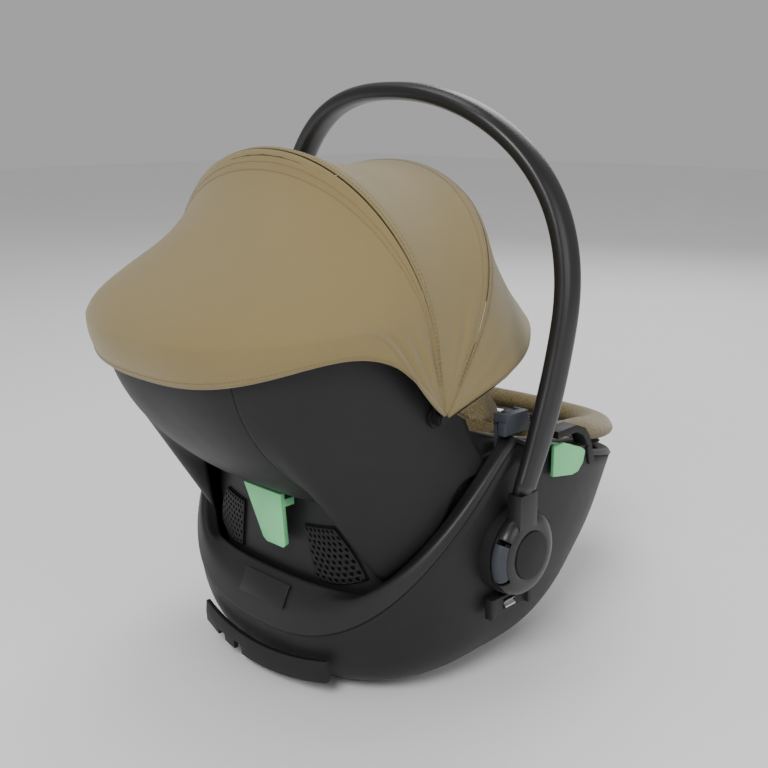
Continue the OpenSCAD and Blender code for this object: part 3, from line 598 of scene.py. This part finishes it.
def stitched(name, lines, pitch=4.2, length=3.0, radius=0.32, thread=None):
    """Stitches along the given lines of points, in millimetres, as one plain mesh."""
    curve = bpy.data.curves.new(name + "_path", "CURVE")
    curve.dimensions = "3D"
    for line in lines:
        s = curve.splines.new("POLY")
        s.points.add(len(line) - 1)
        s.points.foreach_set("co", np.hstack([np.asarray(line) * MM, np.ones((len(line), 1))]).ravel())
    holder = bpy.data.objects.new(name, curve)
    scene.collection.objects.link(holder)
    run = holder.modifiers.new("stitches", "NODES")
    run.node_group = STITCHES
    keys = {s.name: s.identifier for s in STITCHES.interface.items_tree if s.in_out == "INPUT"}
    run[keys["Pitch"]] = pitch * MM
    run[keys["Thread length"]] = length * MM
    run[keys["Thread radius"]] = radius * MM
    run[keys["Thread"]] = thread or thread_tan
    graph = bpy.context.evaluated_depsgraph_get()
    data = bpy.data.meshes.new_from_object(holder.evaluated_get(graph), depsgraph=graph)
    bpy.data.objects.remove(holder)
    bpy.data.curves.remove(curve)
    for f in data.polygons:
        f.use_smooth = True
    if not data.uv_layers:
        data.uv_layers.new(name="UVMap")
    piece = bpy.data.objects.new(name, data)
    scene.collection.objects.link(piece)
    return piece


# ---------------------------------------------------------------- base and band
def crease(dw=0.0, dz=0.0):
    return ring(HALF_W + dw, REAR + dw, FRONT + dw, RIM_SIDE, CREASE_H, FOOT_H) + [0, 0, dz]


def base_lines(d=0.0):
    w, r, f = HALF_W, REAR, FRONT
    return [
        ring(0.30 * w - d, 0.36 * r - d, 0.22 * f - d, 4 + d, 4 + d, 4 + d, n=3),
        ring(0.58 * w - d, 0.72 * r - d, 0.425 * f - d, 4 + d, 4 + d, 4 + d, n=3),
        ring(0.71 * w - d, 0.83 * r - d, 0.49 * f - d, 12 + d, 10 + d, 12 + d, n=2.8),
        ring(0.82 * w - d, 0.90 * r - d, 0.565 * f - d, 28 + d, 19 + d, 27 + d, n=2.7),
        ring(0.905 * w - d, 0.94 * r - d, 0.67 * f - d, 56 + d, 30 + d, 54 + d),
        ring(0.95 * w - d, 0.965 * r - d, 0.77 * f - d, 96, 41 + d / 2, 84 + d),
        ring(0.976 * w - d, 0.985 * r - d, 0.885 * f - d, HUB_H, 51, 116 + d / 2),
        crease(-d)]


base = loft("base_body", np.vstack([flow(base_lines(), 5), flow(base_lines(3.0), 2)[::-1]]))
finish_piece(base, "seat", black_shell, "black_plastic", "base_shell")


def band_edge(d, dz):
    return ring(HALF_W - 13 - d, REAR - 21 - d, FRONT - 13 - d, RIM_SIDE + 5, 114, FOOT_H + 8,
                g=1.18, kr=1.3) + [0, 0, dz]


band_face = flow([crease(1.2, 0.5), ring(HALF_W - 2.5, REAR - 7, FRONT - 3, RIM_SIDE + 5, 90, FOOT_H + 7),
                  band_edge(0, 0)], 8)
band = loft("rim_band_skin", np.vstack([
    crease(0.2, 0.3)[None], band_face, band_edge(1.2, -0.4)[None], band_edge(2.6, -2.2)[None],
    band_edge(3.4, -14)[None], crease(-3, 0.5)[None]]), loop=True)
finish_piece(band, "seat", black_band, "black_plastic", "rim_band")

# ---------------------------------------------------------------- bucket outside
RIM_N, RIM_GAIN, RIM_K = 3.2, 2.85, 1.6


def bucket_lines(d=0.0):
    w, r, f = HALF_W, REAR, FRONT
    return [
        ring(0.24 * w - d, 0.24 * r - d, 0.18 * f - d, 20 + d, 20 + d, 20 + d),
        ring(0.52 * w - d, 0.59 * r - d, 0.43 * f - d, 24 + d, 22 + d, 24 + d),
        ring(0.71 * w - d, 0.74 * r - d, 0.57 * f - d, 50 + d, 40 + d, 60 + d),
        ring(0.82 * w - d, 0.79 * r - d, 0.72 * f - d, 96, 74, 100 + d),
        ring(0.875 * w - d, 0.825 * r - d, 0.87 * f - d, 165, 112, 138 + d / 2),
        ring(w - 21 - d, 0.87 * r - d, f - 18 - d, RIM_SIDE - 20, 206, 163),
        ring(w - 25 - d, mix(0.87 * r, HEAD_REACH, 0.22) - d, f - 14 - d, RIM_SIDE - 12,
             232 + d / 2, 170),
        ring(w - 28 - d, mix(0.87 * r, HEAD_REACH, 0.72) - d, f - 11 - d, RIM_SIDE - 5,
             286 + d / 2, 174, n=2.7, g=1.6, kr=1.4),
        ring(w - 31.5 - d, mix(0.87 * r, HEAD_REACH, 0.97) - d, f - 10 - d, RIM_SIDE - 2, 335,
             176, n=2.8, g=2.2, kr=1.5),
        ring(w - 33 - d, HEAD_REACH - 1 - d, f - 9 - d, RIM_SIDE, HEAD_H, 176, n=RIM_N,
             g=RIM_GAIN, kr=RIM_K)]


bucket = loft("bucket_skin", np.vstack([flow(bucket_lines(), 4), flow(bucket_lines(3.0), 2)[::-1]]))
finish_piece(bucket, "seat", black_shell, "black_plastic", "seat_shell")


# ---------------------------------------------------------------- vents, pierced and curved to the shell
def on_shell(x, z, lifted):
    """Point on the back of the bucket at a place across and up, lifted off its face."""
    hit, normal = SHELL_FACE.ray_cast((x * MM, 0.4, z * MM), (0, -1, 0))[:2]
    return (np.array(hit) + np.array(normal) * lifted * MM) / MM


def vent_place(u, v, s):
    """Place across and up of a vent at the shares u across and v up."""
    low = mix(np.array([-57.0, 117]), np.array([-119.0, 127]), u) - [0, 7 * np.sin(np.pi * u)]
    high = mix(np.array([-46.0, 176]), np.array([-84.0, 181]), u)
    x, z = mix(low, high, v) + [-5 * np.sin(np.pi * v) * u, 0]
    return s * -x, z


VENT_LIFT, VENT_WALL = 2.4, 1.5
HOLE_ACROSS, HOLE_UP = 0.3, 0.31  # half sizes of a hole, as shares of its cell


def vent(name, s, rows=9, cells=7):
    """A pierced panel on the back of the bucket; every second row of holes is moved by half a cell."""
    points, faces = [], []
    # outline of a cell, in quarters of its width and halves of its height
    edge = [(-2, -1), (-1, -1), (0, -1), (1, -1), (2, -1), (2, 0), (2, 1), (1, 1), (0, 1), (-1, 1),
            (-2, 1), (-2, 0)]
    turns = [math.atan2(b, a / 2) for a, b in edge]

    def place(cu, cv):
        u, v = 0.04 + 0.92 * cu / (cells + 0.5), 0.05 + 0.9 * cv / rows
        return on_shell(*vent_place(u, v, s), VENT_LIFT)

    for r in range(rows):
        shift = 0.5 * (r % 2)
        for c in range(cells):
            mid = (c + shift + 0.5, r + 0.5)
            rim_points = [place(mid[0] + a / 4, mid[1] + b / 2) for a, b in edge]
            hole = [place(mid[0] + HOLE_ACROSS * math.cos(t), mid[1] + HOLE_UP * math.sin(t))
                    for t in turns]
            k = len(points)
            points += rim_points + hole
            faces += [(k + i, k + (i + 1) % 12, k + 12 + (i + 1) % 12, k + 12 + i) for i in range(12)]
        # a blank half cell fills the end of the row
        side = cells if shift == 0 else 0
        k = len(points)
        points += [place(side + a * 0.5, r + b) for a, b in ((0, 0), (0.5, 0), (1, 0), (1, 0.5),
                                                            (1, 1), (0.5, 1), (0, 1), (0, 0.5))]
        faces.append(tuple(range(k, k + 8)))
    if s < 0:
        faces = [f[::-1] for f in faces]
    piece = build(name, np.array(points), faces)
    wall = piece.modifiers.new("wall", "SOLIDIFY")
    wall.thickness = VENT_WALL * MM
    wall.offset = 0
    return apply_modifiers(piece)


SHELL_FACE = BVHTree.FromPolygons([v.co for v in bucket.data.vertices],
                                  [p.vertices for p in bucket.data.polygons])
for s, side in ((1, "left"), (-1, "right")):
    finish_piece(vent("vent_grille_" + side, s), "seat", black_detail, "black_plastic",
                 "vent_panel_" + side)
    # Behind each grille a dark sheet, 0.5 mm off the shell, is painted shade: it stands for the shadow inside
    # the holes, not for a part.
    shares = np.linspace(0.02, 0.98, 24)
    hole_shade_grid = np.array([[on_shell(*vent_place(u, v, s), 0.5) for v in shares] for u in shares])
    if s > 0:
        hole_shade_grid = hole_shade_grid[::-1]
    finish_piece(panel("vent_well_" + side, hole_shade_grid, hole_shade_grid - [0, 0.3, 0]), "seat", pan_black_and_painted_shade, "black_plastic")


def cover_line(a, v):
    """Point of the head covers at the turn a, from the lower edge up to the rim."""
    low = rim(a, HALF_W - 19.7, REAR - 3, 0, RIM_SIDE - 26, 214, 0, n=2.8, g=1.06, kr=1.5)
    belly = rim(a, HALF_W - 23, mix(REAR, HEAD_REACH, 0.62), 0, RIM_SIDE - 10, 262, 0, n=2.7,
                g=1.3, kr=1.2)
    brow = rim(a, HALF_W - 29.2, HEAD_REACH + 6, 0, RIM_SIDE + 4, 318, 0, n=3, g=2, kr=1.4)
    top = rim(a, HALF_W - 29, HEAD_REACH + 4, 0, RIM_SIDE + 12, HEAD_H - 4, 0, n=RIM_N,
              g=RIM_GAIN, kr=RIM_K)
    v = np.asarray(v)[..., None]
    u = 1 - v
    drop = (ease((np.abs(a) - 24) / 20) * ease((84 - np.abs(a)) / 22))[..., None]
    inner = rim(a, HALF_W - 18.5, REAR - 25, 0, RIM_SIDE - 2, 112, 0, n=2.6, g=1.18, kr=1.3)
    low = mix(low, inner, drop)
    belly = belly - np.array([0, 0, 14.0]) * drop
    return u ** 3 * low + 3 * u * u * v * belly + 3 * u * v * v * brow + v ** 3 * top


def cover_patch(name, a0, a1, columns, *stands_for):
    turns, shares = np.meshgrid(np.linspace(a0, a1, columns), np.linspace(0, 1, 44), indexing="ij")
    g = cover_line(turns, shares)
    edge = np.minimum(np.abs(turns - a0), np.abs(turns - a1))
    lip = 0.9 * (1 - ease(edge / 1.2)) + 1.0 * (1 - ease(shares / 0.02))
    out = offset(g, 1.0)
    normal = out - g
    outer = g - normal * lip[..., None]
    return finish_piece(panel(name, outer, g - normal * 2.6), "seat", black_shell, "black_plastic",
                        *stands_for)


cover_patch("head_cover_middle", -24, 24, 70, "back_cover")
cover_patch("head_cover_left", 24.2, 87, 80, "side_cover_left")
cover_patch("head_cover_right", -87, -24.2, 80, "side_cover_right")

# ---------------------------------------------------------------- canopy
ARCH_ROOT = 75.0


def arch(turn, w, reach):
    a = np.radians(turn)
    up = (reach - ARCH_ROOT) * np.maximum(0, np.cos(a)) ** (2 / 2.03)
    return w * sp(np.sin(a), 2 / 2.03), ARCH_ROOT + up


def lean_point(x, out, lean):
    t = np.radians(lean)
    return np.stack([x, PIVOT_Y + out * np.sin(t), PIVOT_Z + out * np.cos(t)], -1)


def cloth_line(u, reach, lean):
    leg = 0.16
    low = np.clip((1 - np.abs(u)) / leg, 0, 1)
    x, out = arch(np.sign(u) * 90 * np.minimum(1, np.abs(u) / (1 - leg)), CLOTH_W, reach + CLOTH_GAP)
    x = np.where(low < 1, np.sign(u) * CLOTH_W, x)
    out = np.where(low < 1, ARCH_ROOT * low, out)
    return lean_point(x, out, lean)


def span(u, v, first, second, sag):
    (r0, l0), (r1, l1) = first, second
    p, q = cloth_line(u, r0, l0), cloth_line(u, r1, l1)
    arc = cloth_line(u, mix(r0, r1, v), mix(l0, l1, v))
    v = v[..., None]
    return mix(arc, mix(p, q, v), sag * (1 - (2 * v - 1) ** 4))


def side_curve(u, w, reach, n):
    p = rim(90 * u, w, reach - PIVOT_Y, 0, 0, 0, 0, n=n, yc=PIVOT_Y)
    return p, np.maximum(0, np.cos(np.radians(90 * u))) ** (2 / 2.4)


def hem(u):
    p, c = side_curve(u, CLOTH_W + 2, HEAD_REACH + 11, 2.6)
    p[..., 2] = PIVOT_Z - 4 + (HEAD_H - 40 - PIVOT_Z + 4) * c + 55 * np.sin(np.pi * c ** 0.78)
    return p


def bulge(u):
    p, c = side_curve(u, CLOTH_W + 6, HEAD_REACH + 24, 2.5)
    p[..., 2] = mix(PIVOT_Z + 2, HEAD_H, ease(2.2 * c)) + 14 * np.sin(np.pi * c ** 0.7)
    return p


def rear_cloth(u, v):
    """Rear panel: from the rear bow in a shallow hollow to the bulge, and round it to the hem."""
    p, b, h = cloth_line(u, *BOWS[0]), bulge(u), hem(u)
    out = unit(np.stack([b[..., 0], b[..., 1] - PIVOT_Y, 0 * b[..., 0]], -1))
    drop = np.maximum(0, p[..., 2] - b[..., 2])[..., None]
    z = np.array([0, 0, 1.0])
    t = (v / 0.8)[..., None]
    s = 1 - t
    c1 = mix(p, b, 0.20) - 0.30 * drop * z - 0.06 * drop * out
    c2 = b + 0.36 * drop * z - 0.12 * drop * out
    upper = s ** 3 * p + 3 * s * s * t * c1 + 3 * s * t * t * c2 + t ** 3 * b
    t = ((v - 0.8) / 0.2)[..., None]
    s = 1 - t
    c = b - z * 0.6 * (b[..., 2] - h[..., 2])[..., None]
    lower = s * s * b + 2 * s * t * c + t * t * h
    return np.where(v[..., None] <= 0.8, upper, lower)


def cloth_panel(name, surface, v0, v1, columns, rows, thick, relief=None):
    u, v = np.meshgrid(np.linspace(-0.99, 0.99, columns), np.linspace(v0, v1, rows), indexing="ij")
    g = surface(u, v)
    normal = offset(g, 1.0) - g
    side = np.sign((normal * (g - [0, PIVOT_Y, PIVOT_Z])).sum(-1).mean())
    normal = normal * side
    lift = relief(u, v) if relief is not None else 0 * u
    outer = g + normal * lift[..., None]
    return panel(name, outer, outer - normal * thick), outer, normal


def rear_relief(u, v):
    soft = 1.4 * hump(v, 0.30, 0.10) * np.sin(9 * u + 1) * (1 - np.abs(u) ** 4)
    pull = 1.6 * hump(np.abs(u), 0.86, 0.07) * np.sin(26 * v + 4 * u) * ease((0.9 - v) / 0.3)
    roll = 1.6 * hump(v, 0.972, 0.010)
    casing = 0.9 * ease((0.060 - v) / 0.008)
    return soft + pull + roll + casing


rear_panel, rear_grid, rear_out = cloth_panel("canopy_rear_cloth", rear_cloth, 0.0, 1.0, 181, 76, 1.3,
                                              rear_relief)


def middle_surface(u, v):
    return span(u, v, BOWS[1], BOWS[0], 1.35)


def visor_surface(u, v):
    return span(u, v, BOWS[2], BOWS[1], 1.35)


def middle_relief(u, v):
    valley = -1.2 * hump(v, 0.45, 0.22) * (1 - np.abs(u) ** 3)
    pull = 1.1 * hump(np.abs(u), 0.80, 0.09) * np.sin(22 * v + 5 * np.abs(u)) * hump(v, 0.3, 0.25)
    casing = 0.9 * ease((0.075 - v) / 0.010) + 0.9 * ease((v - 0.925) / 0.010)
    return valley + pull + casing


def visor_relief(u, v):
    pull = 1.0 * hump(np.abs(u), 0.78, 0.1) * np.sin(20 * v) * (1 - v)
    return pull + 1.4 * hump(v, 0.02, 0.012) + 0.9 * ease((v - 0.925) / 0.010)


middle_panel, middle_grid, middle_out = cloth_panel("canopy_middle_cloth", middle_surface, 0.012, 0.988,
                                                    181, 44, 1.3, middle_relief)
visor_panel, visor_grid, visor_out = cloth_panel("canopy_visor_cloth", visor_surface, -0.02, 0.988,
                                                 181, 44, 1.3, visor_relief)


def rows_of(grid, normal, shares, lifted=0.35, ends=6):
    """Lines across a canopy panel at the given shares of its length, just proud of the cloth."""
    n = grid.shape[1] - 1
    return [(grid + lifted * normal)[ends:-ends, int(round(s * n))] for s in shares]


def canopy_part(cloth, grid, normal, seams, node, start, end, name):
    finish_piece(cloth, None, canopy_cloth, "canopy_fabric", node)
    threads = stitched(name, rows_of(grid, normal, seams))
    threads.data.materials.clear()
    threads.data.materials.append(thread_tan)
    for piece in (cloth, threads):
        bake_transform(piece)


def bow_top(k, share=1.0):
    reach, lean = BOWS[k]
    p = lean_point(np.array(0.0), np.array(reach * share), lean) * MM
    return tuple(float(x) for x in p)


canopy_part(rear_panel, rear_grid, rear_out, (0.040, 0.062, 0.955),
            "canopy_rear", (0, 0.300, 0.350), bow_top(0, 0.95), "canopy_rear_stitches")
canopy_part(middle_panel, middle_grid, middle_out, (0.03, 0.078, 0.922, 0.97),
            "canopy_middle", bow_top(0), bow_top(1),
            "canopy_middle_stitches")
canopy_part(visor_panel, visor_grid, visor_out, (0.05, 0.922, 0.97),
            "canopy_visor", bow_top(1), bow_top(2),
            "canopy_visor_stitches")

# ---------------------------------------------------------------- carry bar
LEG_TOP = HUB_H + 66


def bar_y(z):
    return -62 + np.where(z < 480, (z - 480) / 32, (z - 480) / 22.5) ** 2


def bar_middle():
    leg = np.linspace(LEG_TOP + 0.3, 370, 26)[:-1]
    a = np.linspace(-90, 90, 110)
    arch_z = 370 + (BAR_TOP - 370) * np.maximum(0, np.cos(np.radians(a))) ** (2 / 2.25)
    x = np.concatenate([np.full(25, -BAR_X), BAR_X * sp(np.sin(np.radians(a)), 2 / 2.25),
                        np.full(25, BAR_X)])
    z = np.concatenate([leg, arch_z, leg[::-1]])
    return np.stack([x, bar_y(z), z], -1)


def bar_rings():
    path = bar_middle()
    step = unit(np.gradient(path, axis=0))
    step[0], step[-1] = [0, 0, 1], [0, 0, -1]
    across = unit(np.cross(np.array([0, 1.0, 0]), step))
    along = unit(np.cross(step, across))
    leg = 1 - ease((path[:, 2] - LEG_TOP) / 80)
    a = np.radians(np.linspace(0, 360, 40, endpoint=False))
    w = mix(BAR_W, LEG_W, leg)[:, None] / 2
    h = mix(BAR_T, HUB_T, leg)[:, None] / 2
    groove = 1 - 0.035 * (hump(np.degrees(a), 138, 5) + hump(np.degrees(a), 222, 5)
                          + hump(np.degrees(a), 42, 5) + hump(np.degrees(a), 318, 5))
    su = (w * sp(np.sin(a), 0.8) * groove)[..., None]
    cu = (h * sp(np.cos(a), 0.8) * groove)[..., None]
    return path[:, None] + along[:, None] * su + across[:, None] * cu


finish_piece(loft("carry_bar_skin", bar_rings()), "handle", satin_bar, "satin_black_plastic",
             "carry_bar")

# ---------------------------------------------------------------- padded bucket
BOWL_Y, BOWL_Z, BOWL_N = -70.0, 70.0, 2.5
BOWL_W = HALF_W - 38.6
BOWL_REAR, BOWL_FRONT = HEAD_REACH - 7 - BOWL_Y, FRONT - 15 + BOWL_Y
FOAM_D = 3.0 + 2.7
COVER_D = FOAM_D + 12 + 2.7
SEAT_D = COVER_D + 8


def rim_height(y):
    y = np.asarray(y, float)
    foot = mix(RIM_SIDE, FOOT_H + 14, (np.maximum(0, -y) / FRONT) ** 0.9)
    head = RIM_SIDE + (HEAD_H - 1 - RIM_SIDE) * np.minimum(
        1, RIM_GAIN * (np.maximum(0, y) / HEAD_REACH) ** RIM_K)
    return np.where(y < 0, foot, head)


def bowl_height(y, v, t, d):
    headward = y >= BOWL_Y
    end = np.where(headward, rim_height(BOWL_Y + BOWL_REAR), rim_height(BOWL_Y - BOWL_FRONT))
    middle = BOWL_Z + d + (end - BOWL_Z - d) * v ** np.where(headward, 1.25, 1.7)
    return mix(middle, rim_height(y), t ** 7)


def bowl_at(x, y, d=SEAT_D):
    x, y = np.broadcast_arrays(np.asarray(x, float), np.asarray(y, float))
    reach = np.where(y >= BOWL_Y, BOWL_REAR - 0.8 * d, BOWL_FRONT - d)
    v, h = np.abs(y - BOWL_Y) / reach, np.abs(x) / (BOWL_W - d)
    return bowl_height(y, np.minimum(1, v), np.minimum(1, (v ** BOWL_N + h ** BOWL_N) ** (1 / BOWL_N)), d)


def bowl_rings(d, shares):
    a = np.radians(AROUND)
    s, c = sp(np.sin(a), 2 / BOWL_N), np.abs(np.cos(a)) ** (2 / BOWL_N)
    reach = np.where(np.cos(a) >= 0, BOWL_REAR - 0.8 * d, -(BOWL_FRONT - d))
    out = []
    for t in shares:
        y = BOWL_Y + reach * t * c
        out.append(np.stack([(BOWL_W - d) * t * s, y, bowl_height(y, t * c, t, d)], -1))
    return np.array(out)


BOWL_SHARES = [0.03, 0.09, 0.16, 0.24, 0.32, 0.4, 0.48, 0.55, 0.62, 0.68, 0.74, 0.79, 0.84, 0.88,
               0.92, 0.95, 0.975, 0.99, 1.0]


def bowl_skin(name, d0, d1, relief=None):
    low, high = bowl_rings(d0, BOWL_SHARES), bowl_rings(d1, BOWL_SHARES)
    if relief is not None:
        high = high + relief(high)
    return loft(name, np.vstack([low, high[::-1]]))


finish_piece(bowl_skin("pan_skin", 0.0, 3.0), "seat", pan_black_and_painted_shade, "black_plastic", "seat_pan")
finish_piece(bowl_skin("foam_skin", FOAM_D, FOAM_D + 12), "seat", liner_foam, "foam", "foam_liner")


def quilting(p):
    """Sewn channels pull the padded cover in between its panels."""
    x, y = p[..., 0], p[..., 1]
    channel = (hump(np.abs(x), 62 + 0.12 * (y + 70), 3.0) + hump(y, -128, 3.0) + hump(y, 128, 3.0))
    soft = 1.6 * np.cos(x / 20) * np.cos(y / 34)
    lift = -2.6 * np.minimum(1, channel) + np.maximum(0, soft) * 0.8
    return np.stack([0 * x, 0 * x, lift], -1)


cover = finish_piece(bowl_skin("seat_cover_pad", COVER_D, SEAT_D, quilting), "seat", seat_knit,
                     "seat_fabric", "seat_cover")


def on_cover(x, y, lifted=0.5):
    x, y = np.broadcast_arrays(np.asarray(x, float), np.asarray(y, float))
    return np.stack([x, y, bowl_at(x, y) + quilting(np.stack([x, y, 0 * x], -1))[..., 2] + lifted], -1)


long_y = np.linspace(-215, 190, 120)
cover_lines = [on_cover(s * (62 + 0.12 * (long_y + 70) + k), long_y) for s in (-1, 1) for k in (-4, 4)]
wide_x = np.linspace(-58, 58, 50)
cover_lines += [on_cover(wide_x, y) for y in (-132, -124, 124, 132)]
seams = stitched("seat_cover_stitches", cover_lines)
finish_piece(seams, "seat", thread_tan, "seat_fabric")

# Padded roll round the rim and the foot end
roll_turn = np.linspace(104, 256, 110)
roll_path = rim(roll_turn, HALF_W - 32, 0, FRONT + 13, 0, 0, 0, n=2.5)
roll_path[:, 2] = rim_height(roll_path[:, 1]) + 17


def roll_rings():
    step = np.gradient(roll_path, axis=0)
    side = unit(np.stack([step[:, 1], -step[:, 0], 0 * step[:, 0]], -1))
    k = np.linspace(0, 28, len(roll_path))
    full = (ease(np.minimum(k, 28 - k) / 3) * 0.5 + 0.5)[:, None]
    foot = ease((-roll_path[:, 1] - 150) / 150)[:, None]
    a = np.radians(np.linspace(0, 360, 30, endpoint=False))
    pinch = 1 - 0.05 * (hump(np.degrees(a), 20, 7) + hump(np.degrees(a), 160, 7))
    reach = (15 + 7 * foot) * full * np.cos(a) * pinch
    rise = 13 * full * np.sin(a) * pinch
    up_way = np.array([0, 0, 1.0])
    return roll_path[:, None] + reach[..., None] * side[:, None] + rise[..., None] * up_way


roll = roll_rings()
rim_roll = loft("rim_roll_pad", roll[::-1])
swell(rim_roll, 4)
finish_piece(rim_roll, "seat", seat_knit, "seat_fabric", "rim_pad")


def crowned(name, low, high, cap, body, stands_for, shrink=0.96):
    """A padded piece between two grids, with its edges drawn in and its middle swollen."""
    middle = (low + high) / 2
    piece = panel(name, middle + (high - middle) * shrink, middle + (low - middle) * shrink)
    bevel = piece.modifiers.new("edge", "BEVEL")
    bevel.width = 4 * MM
    bevel.segments = 3
    bevel.limit_method = "ANGLE"
    bevel.angle_limit = math.radians(50)
    apply_modifiers(piece)
    swell(piece, cap)
    finish_piece(piece, body, seat_knit, "seat_fabric", stands_for)
    return piece


def grid_of(x0, x1, y0, y1, columns=40, rows=40):
    return np.meshgrid(np.linspace(x0, x1, columns), np.linspace(y0, y1, rows), indexing="ij")


for side, word in ((1, "left"), (-1, "right")):
    share, v = np.meshgrid(np.linspace(0, 1, 36), np.linspace(0, 1, 20), indexing="ij")
    y = mix(-24, 60, share)
    tall = 24 + 20 * np.sin(np.pi * share)
    g = np.stack([side * (HALF_W - 31 - 12 * v), y, rim_height(y) + 13 + tall * v], -1)
    inner = g - np.array([side * 9.0, 0, 0]) * (0.55 + 0.45 * np.sin(np.pi * share) ** 0.5)[..., None]
    crowned("side_wing_pad_" + word, inner, g, 3, "seat", "side_wing_" + word)

x, y = grid_of(-75, 75, -44, 60)
low = np.stack([x, y, bowl_at(x, y) + 8], -1)
dome = np.sin(np.pi * (x + 75) / 150) * np.sin(np.pi * (y + 44) / 104)
crowned("infant_insert_pad", low, low + np.stack([0 * x, 0 * x, 5 + 15 * dome], -1), 3, "seat",
        "lumbar_insert")

REST_Y0, REST_Y1, REST_END = 92.0, 172.0, 194.0
REST_Z = float(bowl_at(0, REST_Y0)) + 14
REST_SLOPE = (float(bowl_at(0, REST_END)) + 14 - REST_Z) / (REST_END - REST_Y0)
x, y = grid_of(-86, 86, REST_Y0, REST_Y1, 60, 30)
low = np.stack([x, y, REST_Z + REST_SLOPE * (y - REST_Y0) + bowl_at(x, REST_END) - bowl_at(0, REST_END)], -1)
wing = ease((np.abs(x) - 52) / 30)
high = low + np.stack([0 * x, -14 - 10 * wing, 16 + 34 * wing], -1)
crowned("headrest_pad", low, high, 3, "headrest", "headrest")

# ---------------------------------------------------------------- harness
STRAP_X, STRAP_H, WEB_W, WEB_T = 44.0, 38.0, 25.0, 1.6


def strap_grid(x, w, y0, y1, h, columns=8, rows=60):
    xs, ys = np.meshgrid(np.linspace(x - w / 2, x + w / 2, columns), np.linspace(y0, y1, rows), indexing="ij")
    return np.stack([xs, ys, bowl_at(x, ys) + h], -1)


def strap(name, x, w, t, y0, y1, h, finish, slot_name, *stands_for):
    g = strap_grid(x, w, y0, y1, h)
    edge = np.zeros(g.shape)
    edge[[0, -1], :, 2] = 0.4 * t
    return finish_piece(panel(name, g + [0, 0, t] - edge * 0.5, g + edge * 0.5), "seat", finish,
                        slot_name, *stands_for)


for side, word in ((1, "left"), (-1, "right")):
    strap("shoulder_web_" + word, side * STRAP_X, WEB_W, WEB_T, -58, 76, STRAP_H, harness_web, "webbing",
          "shoulder_straps")
    low = strap_grid(side * STRAP_X, WEB_W + 22, -8, 72, STRAP_H + WEB_T + 1, 16, 40)
    crowned("shoulder_pad_" + word, low, low + [0, 0, 9], 2, "seat", "shoulder_pads")
strap("crotch_web", 0, WEB_W, WEB_T, -204, -144, 14, harness_web, "webbing", "crotch_strap")
low = strap_grid(0, WEB_W + 26, -200, -146, 15 + WEB_T, 16, 30)
crowned("crotch_pad_cover", low, low + [0, 0, 8], 2, "seat", "crotch_pad")

# ---------------------------------------------------------------- moulded details that keep their CAD shape
for node, body, finish, slot_name, width in (
        ("hub_left", "handle", satin_bar, "satin_black_plastic", 1.4),
        ("hub_right", "handle", satin_bar, "satin_black_plastic", 1.4),
        ("hub_caps", "handle", black_detail, "slate_plastic", 0.6),
        ("hub_button_left", "handle_button_left", slate_button, "slate_plastic", 0.7),
        ("hub_button_right", "handle_button_right", slate_button, "slate_plastic", 0.7),
        ("adapter_trigger_left", "trigger_left", slate_button, "slate_plastic", 0.9),
        ("adapter_trigger_right", "trigger_right", slate_button, "slate_plastic", 0.9),
        ("adapter_sockets", "seat", black_shell, "black_plastic", 1.0),
        ("belt_arch_left", "seat", black_shell, "black_plastic", 2.2),
        ("belt_arch_right", "seat", black_shell, "black_plastic", 2.2),
        ("lap_belt_guide_left", "seat", mint_guide, "green_plastic", 0.9),
        ("lap_belt_guide_right", "seat", mint_guide, "green_plastic", 0.9),
        ("shoulder_belt_guide", "seat", mint_guide, "green_plastic", 1.4),
        ("badge_plate", "seat", badge_face, "slate_plastic", 0.4),
        ("buckle_body", "seat", black_detail, "black_plastic", 1.2),
        ("buckle_button", "buckle_press", signal_red, "red_plastic", 0.8),
        ("adjuster_housing", "seat", black_detail, "black_plastic", 1.0),
        ("adjuster_button", "adjuster_press", slate_button, "slate_plastic", 0.8),
        ("release_grip", "base_release", black_shell, "black_plastic", 1.2)):
    finish_piece(softened(node, node + "_moulded", width), body, finish, slot_name)

repaint(black_detail, "canopy_clips", "canopy_pins", "rear_bow",
        "middle_bow", "visor_bow")
repaint(feet_rubber, "rest_feet")
repaint(black_shell, "hub_bearings")
repaint(steel_bright, "pivot_pins", "lock_springs", "grip_spring", "shell_screws",
        "buckle_tongues", "lock_gear_left", "lock_gear_right", "adapter_pawl_left", "adapter_pawl_right")
repaint(harness_web, "adjuster_strap")

# ---------------------------------------------------------------- floor
floor_mesh = bpy.data.meshes.new("floor")
floor_mesh.from_pydata([(-9, -9, 0), (9, -9, 0), (9, 9, 0), (-9, 9, 0)], [], [(0, 1, 2, 3)])
floor = bpy.data.objects.new("floor", floor_mesh)
scene.collection.objects.link(floor)
ground = Finish("pale_floor")
floor_mesh.materials.append(ground.surface(color=ground.blend(ground.noise(3, 2, 0.5), (0.90, 0.90, 0.90, 1),
                                                              (0.93, 0.93, 0.93, 1)), rough=0.9))
floor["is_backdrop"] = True

low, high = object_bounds()
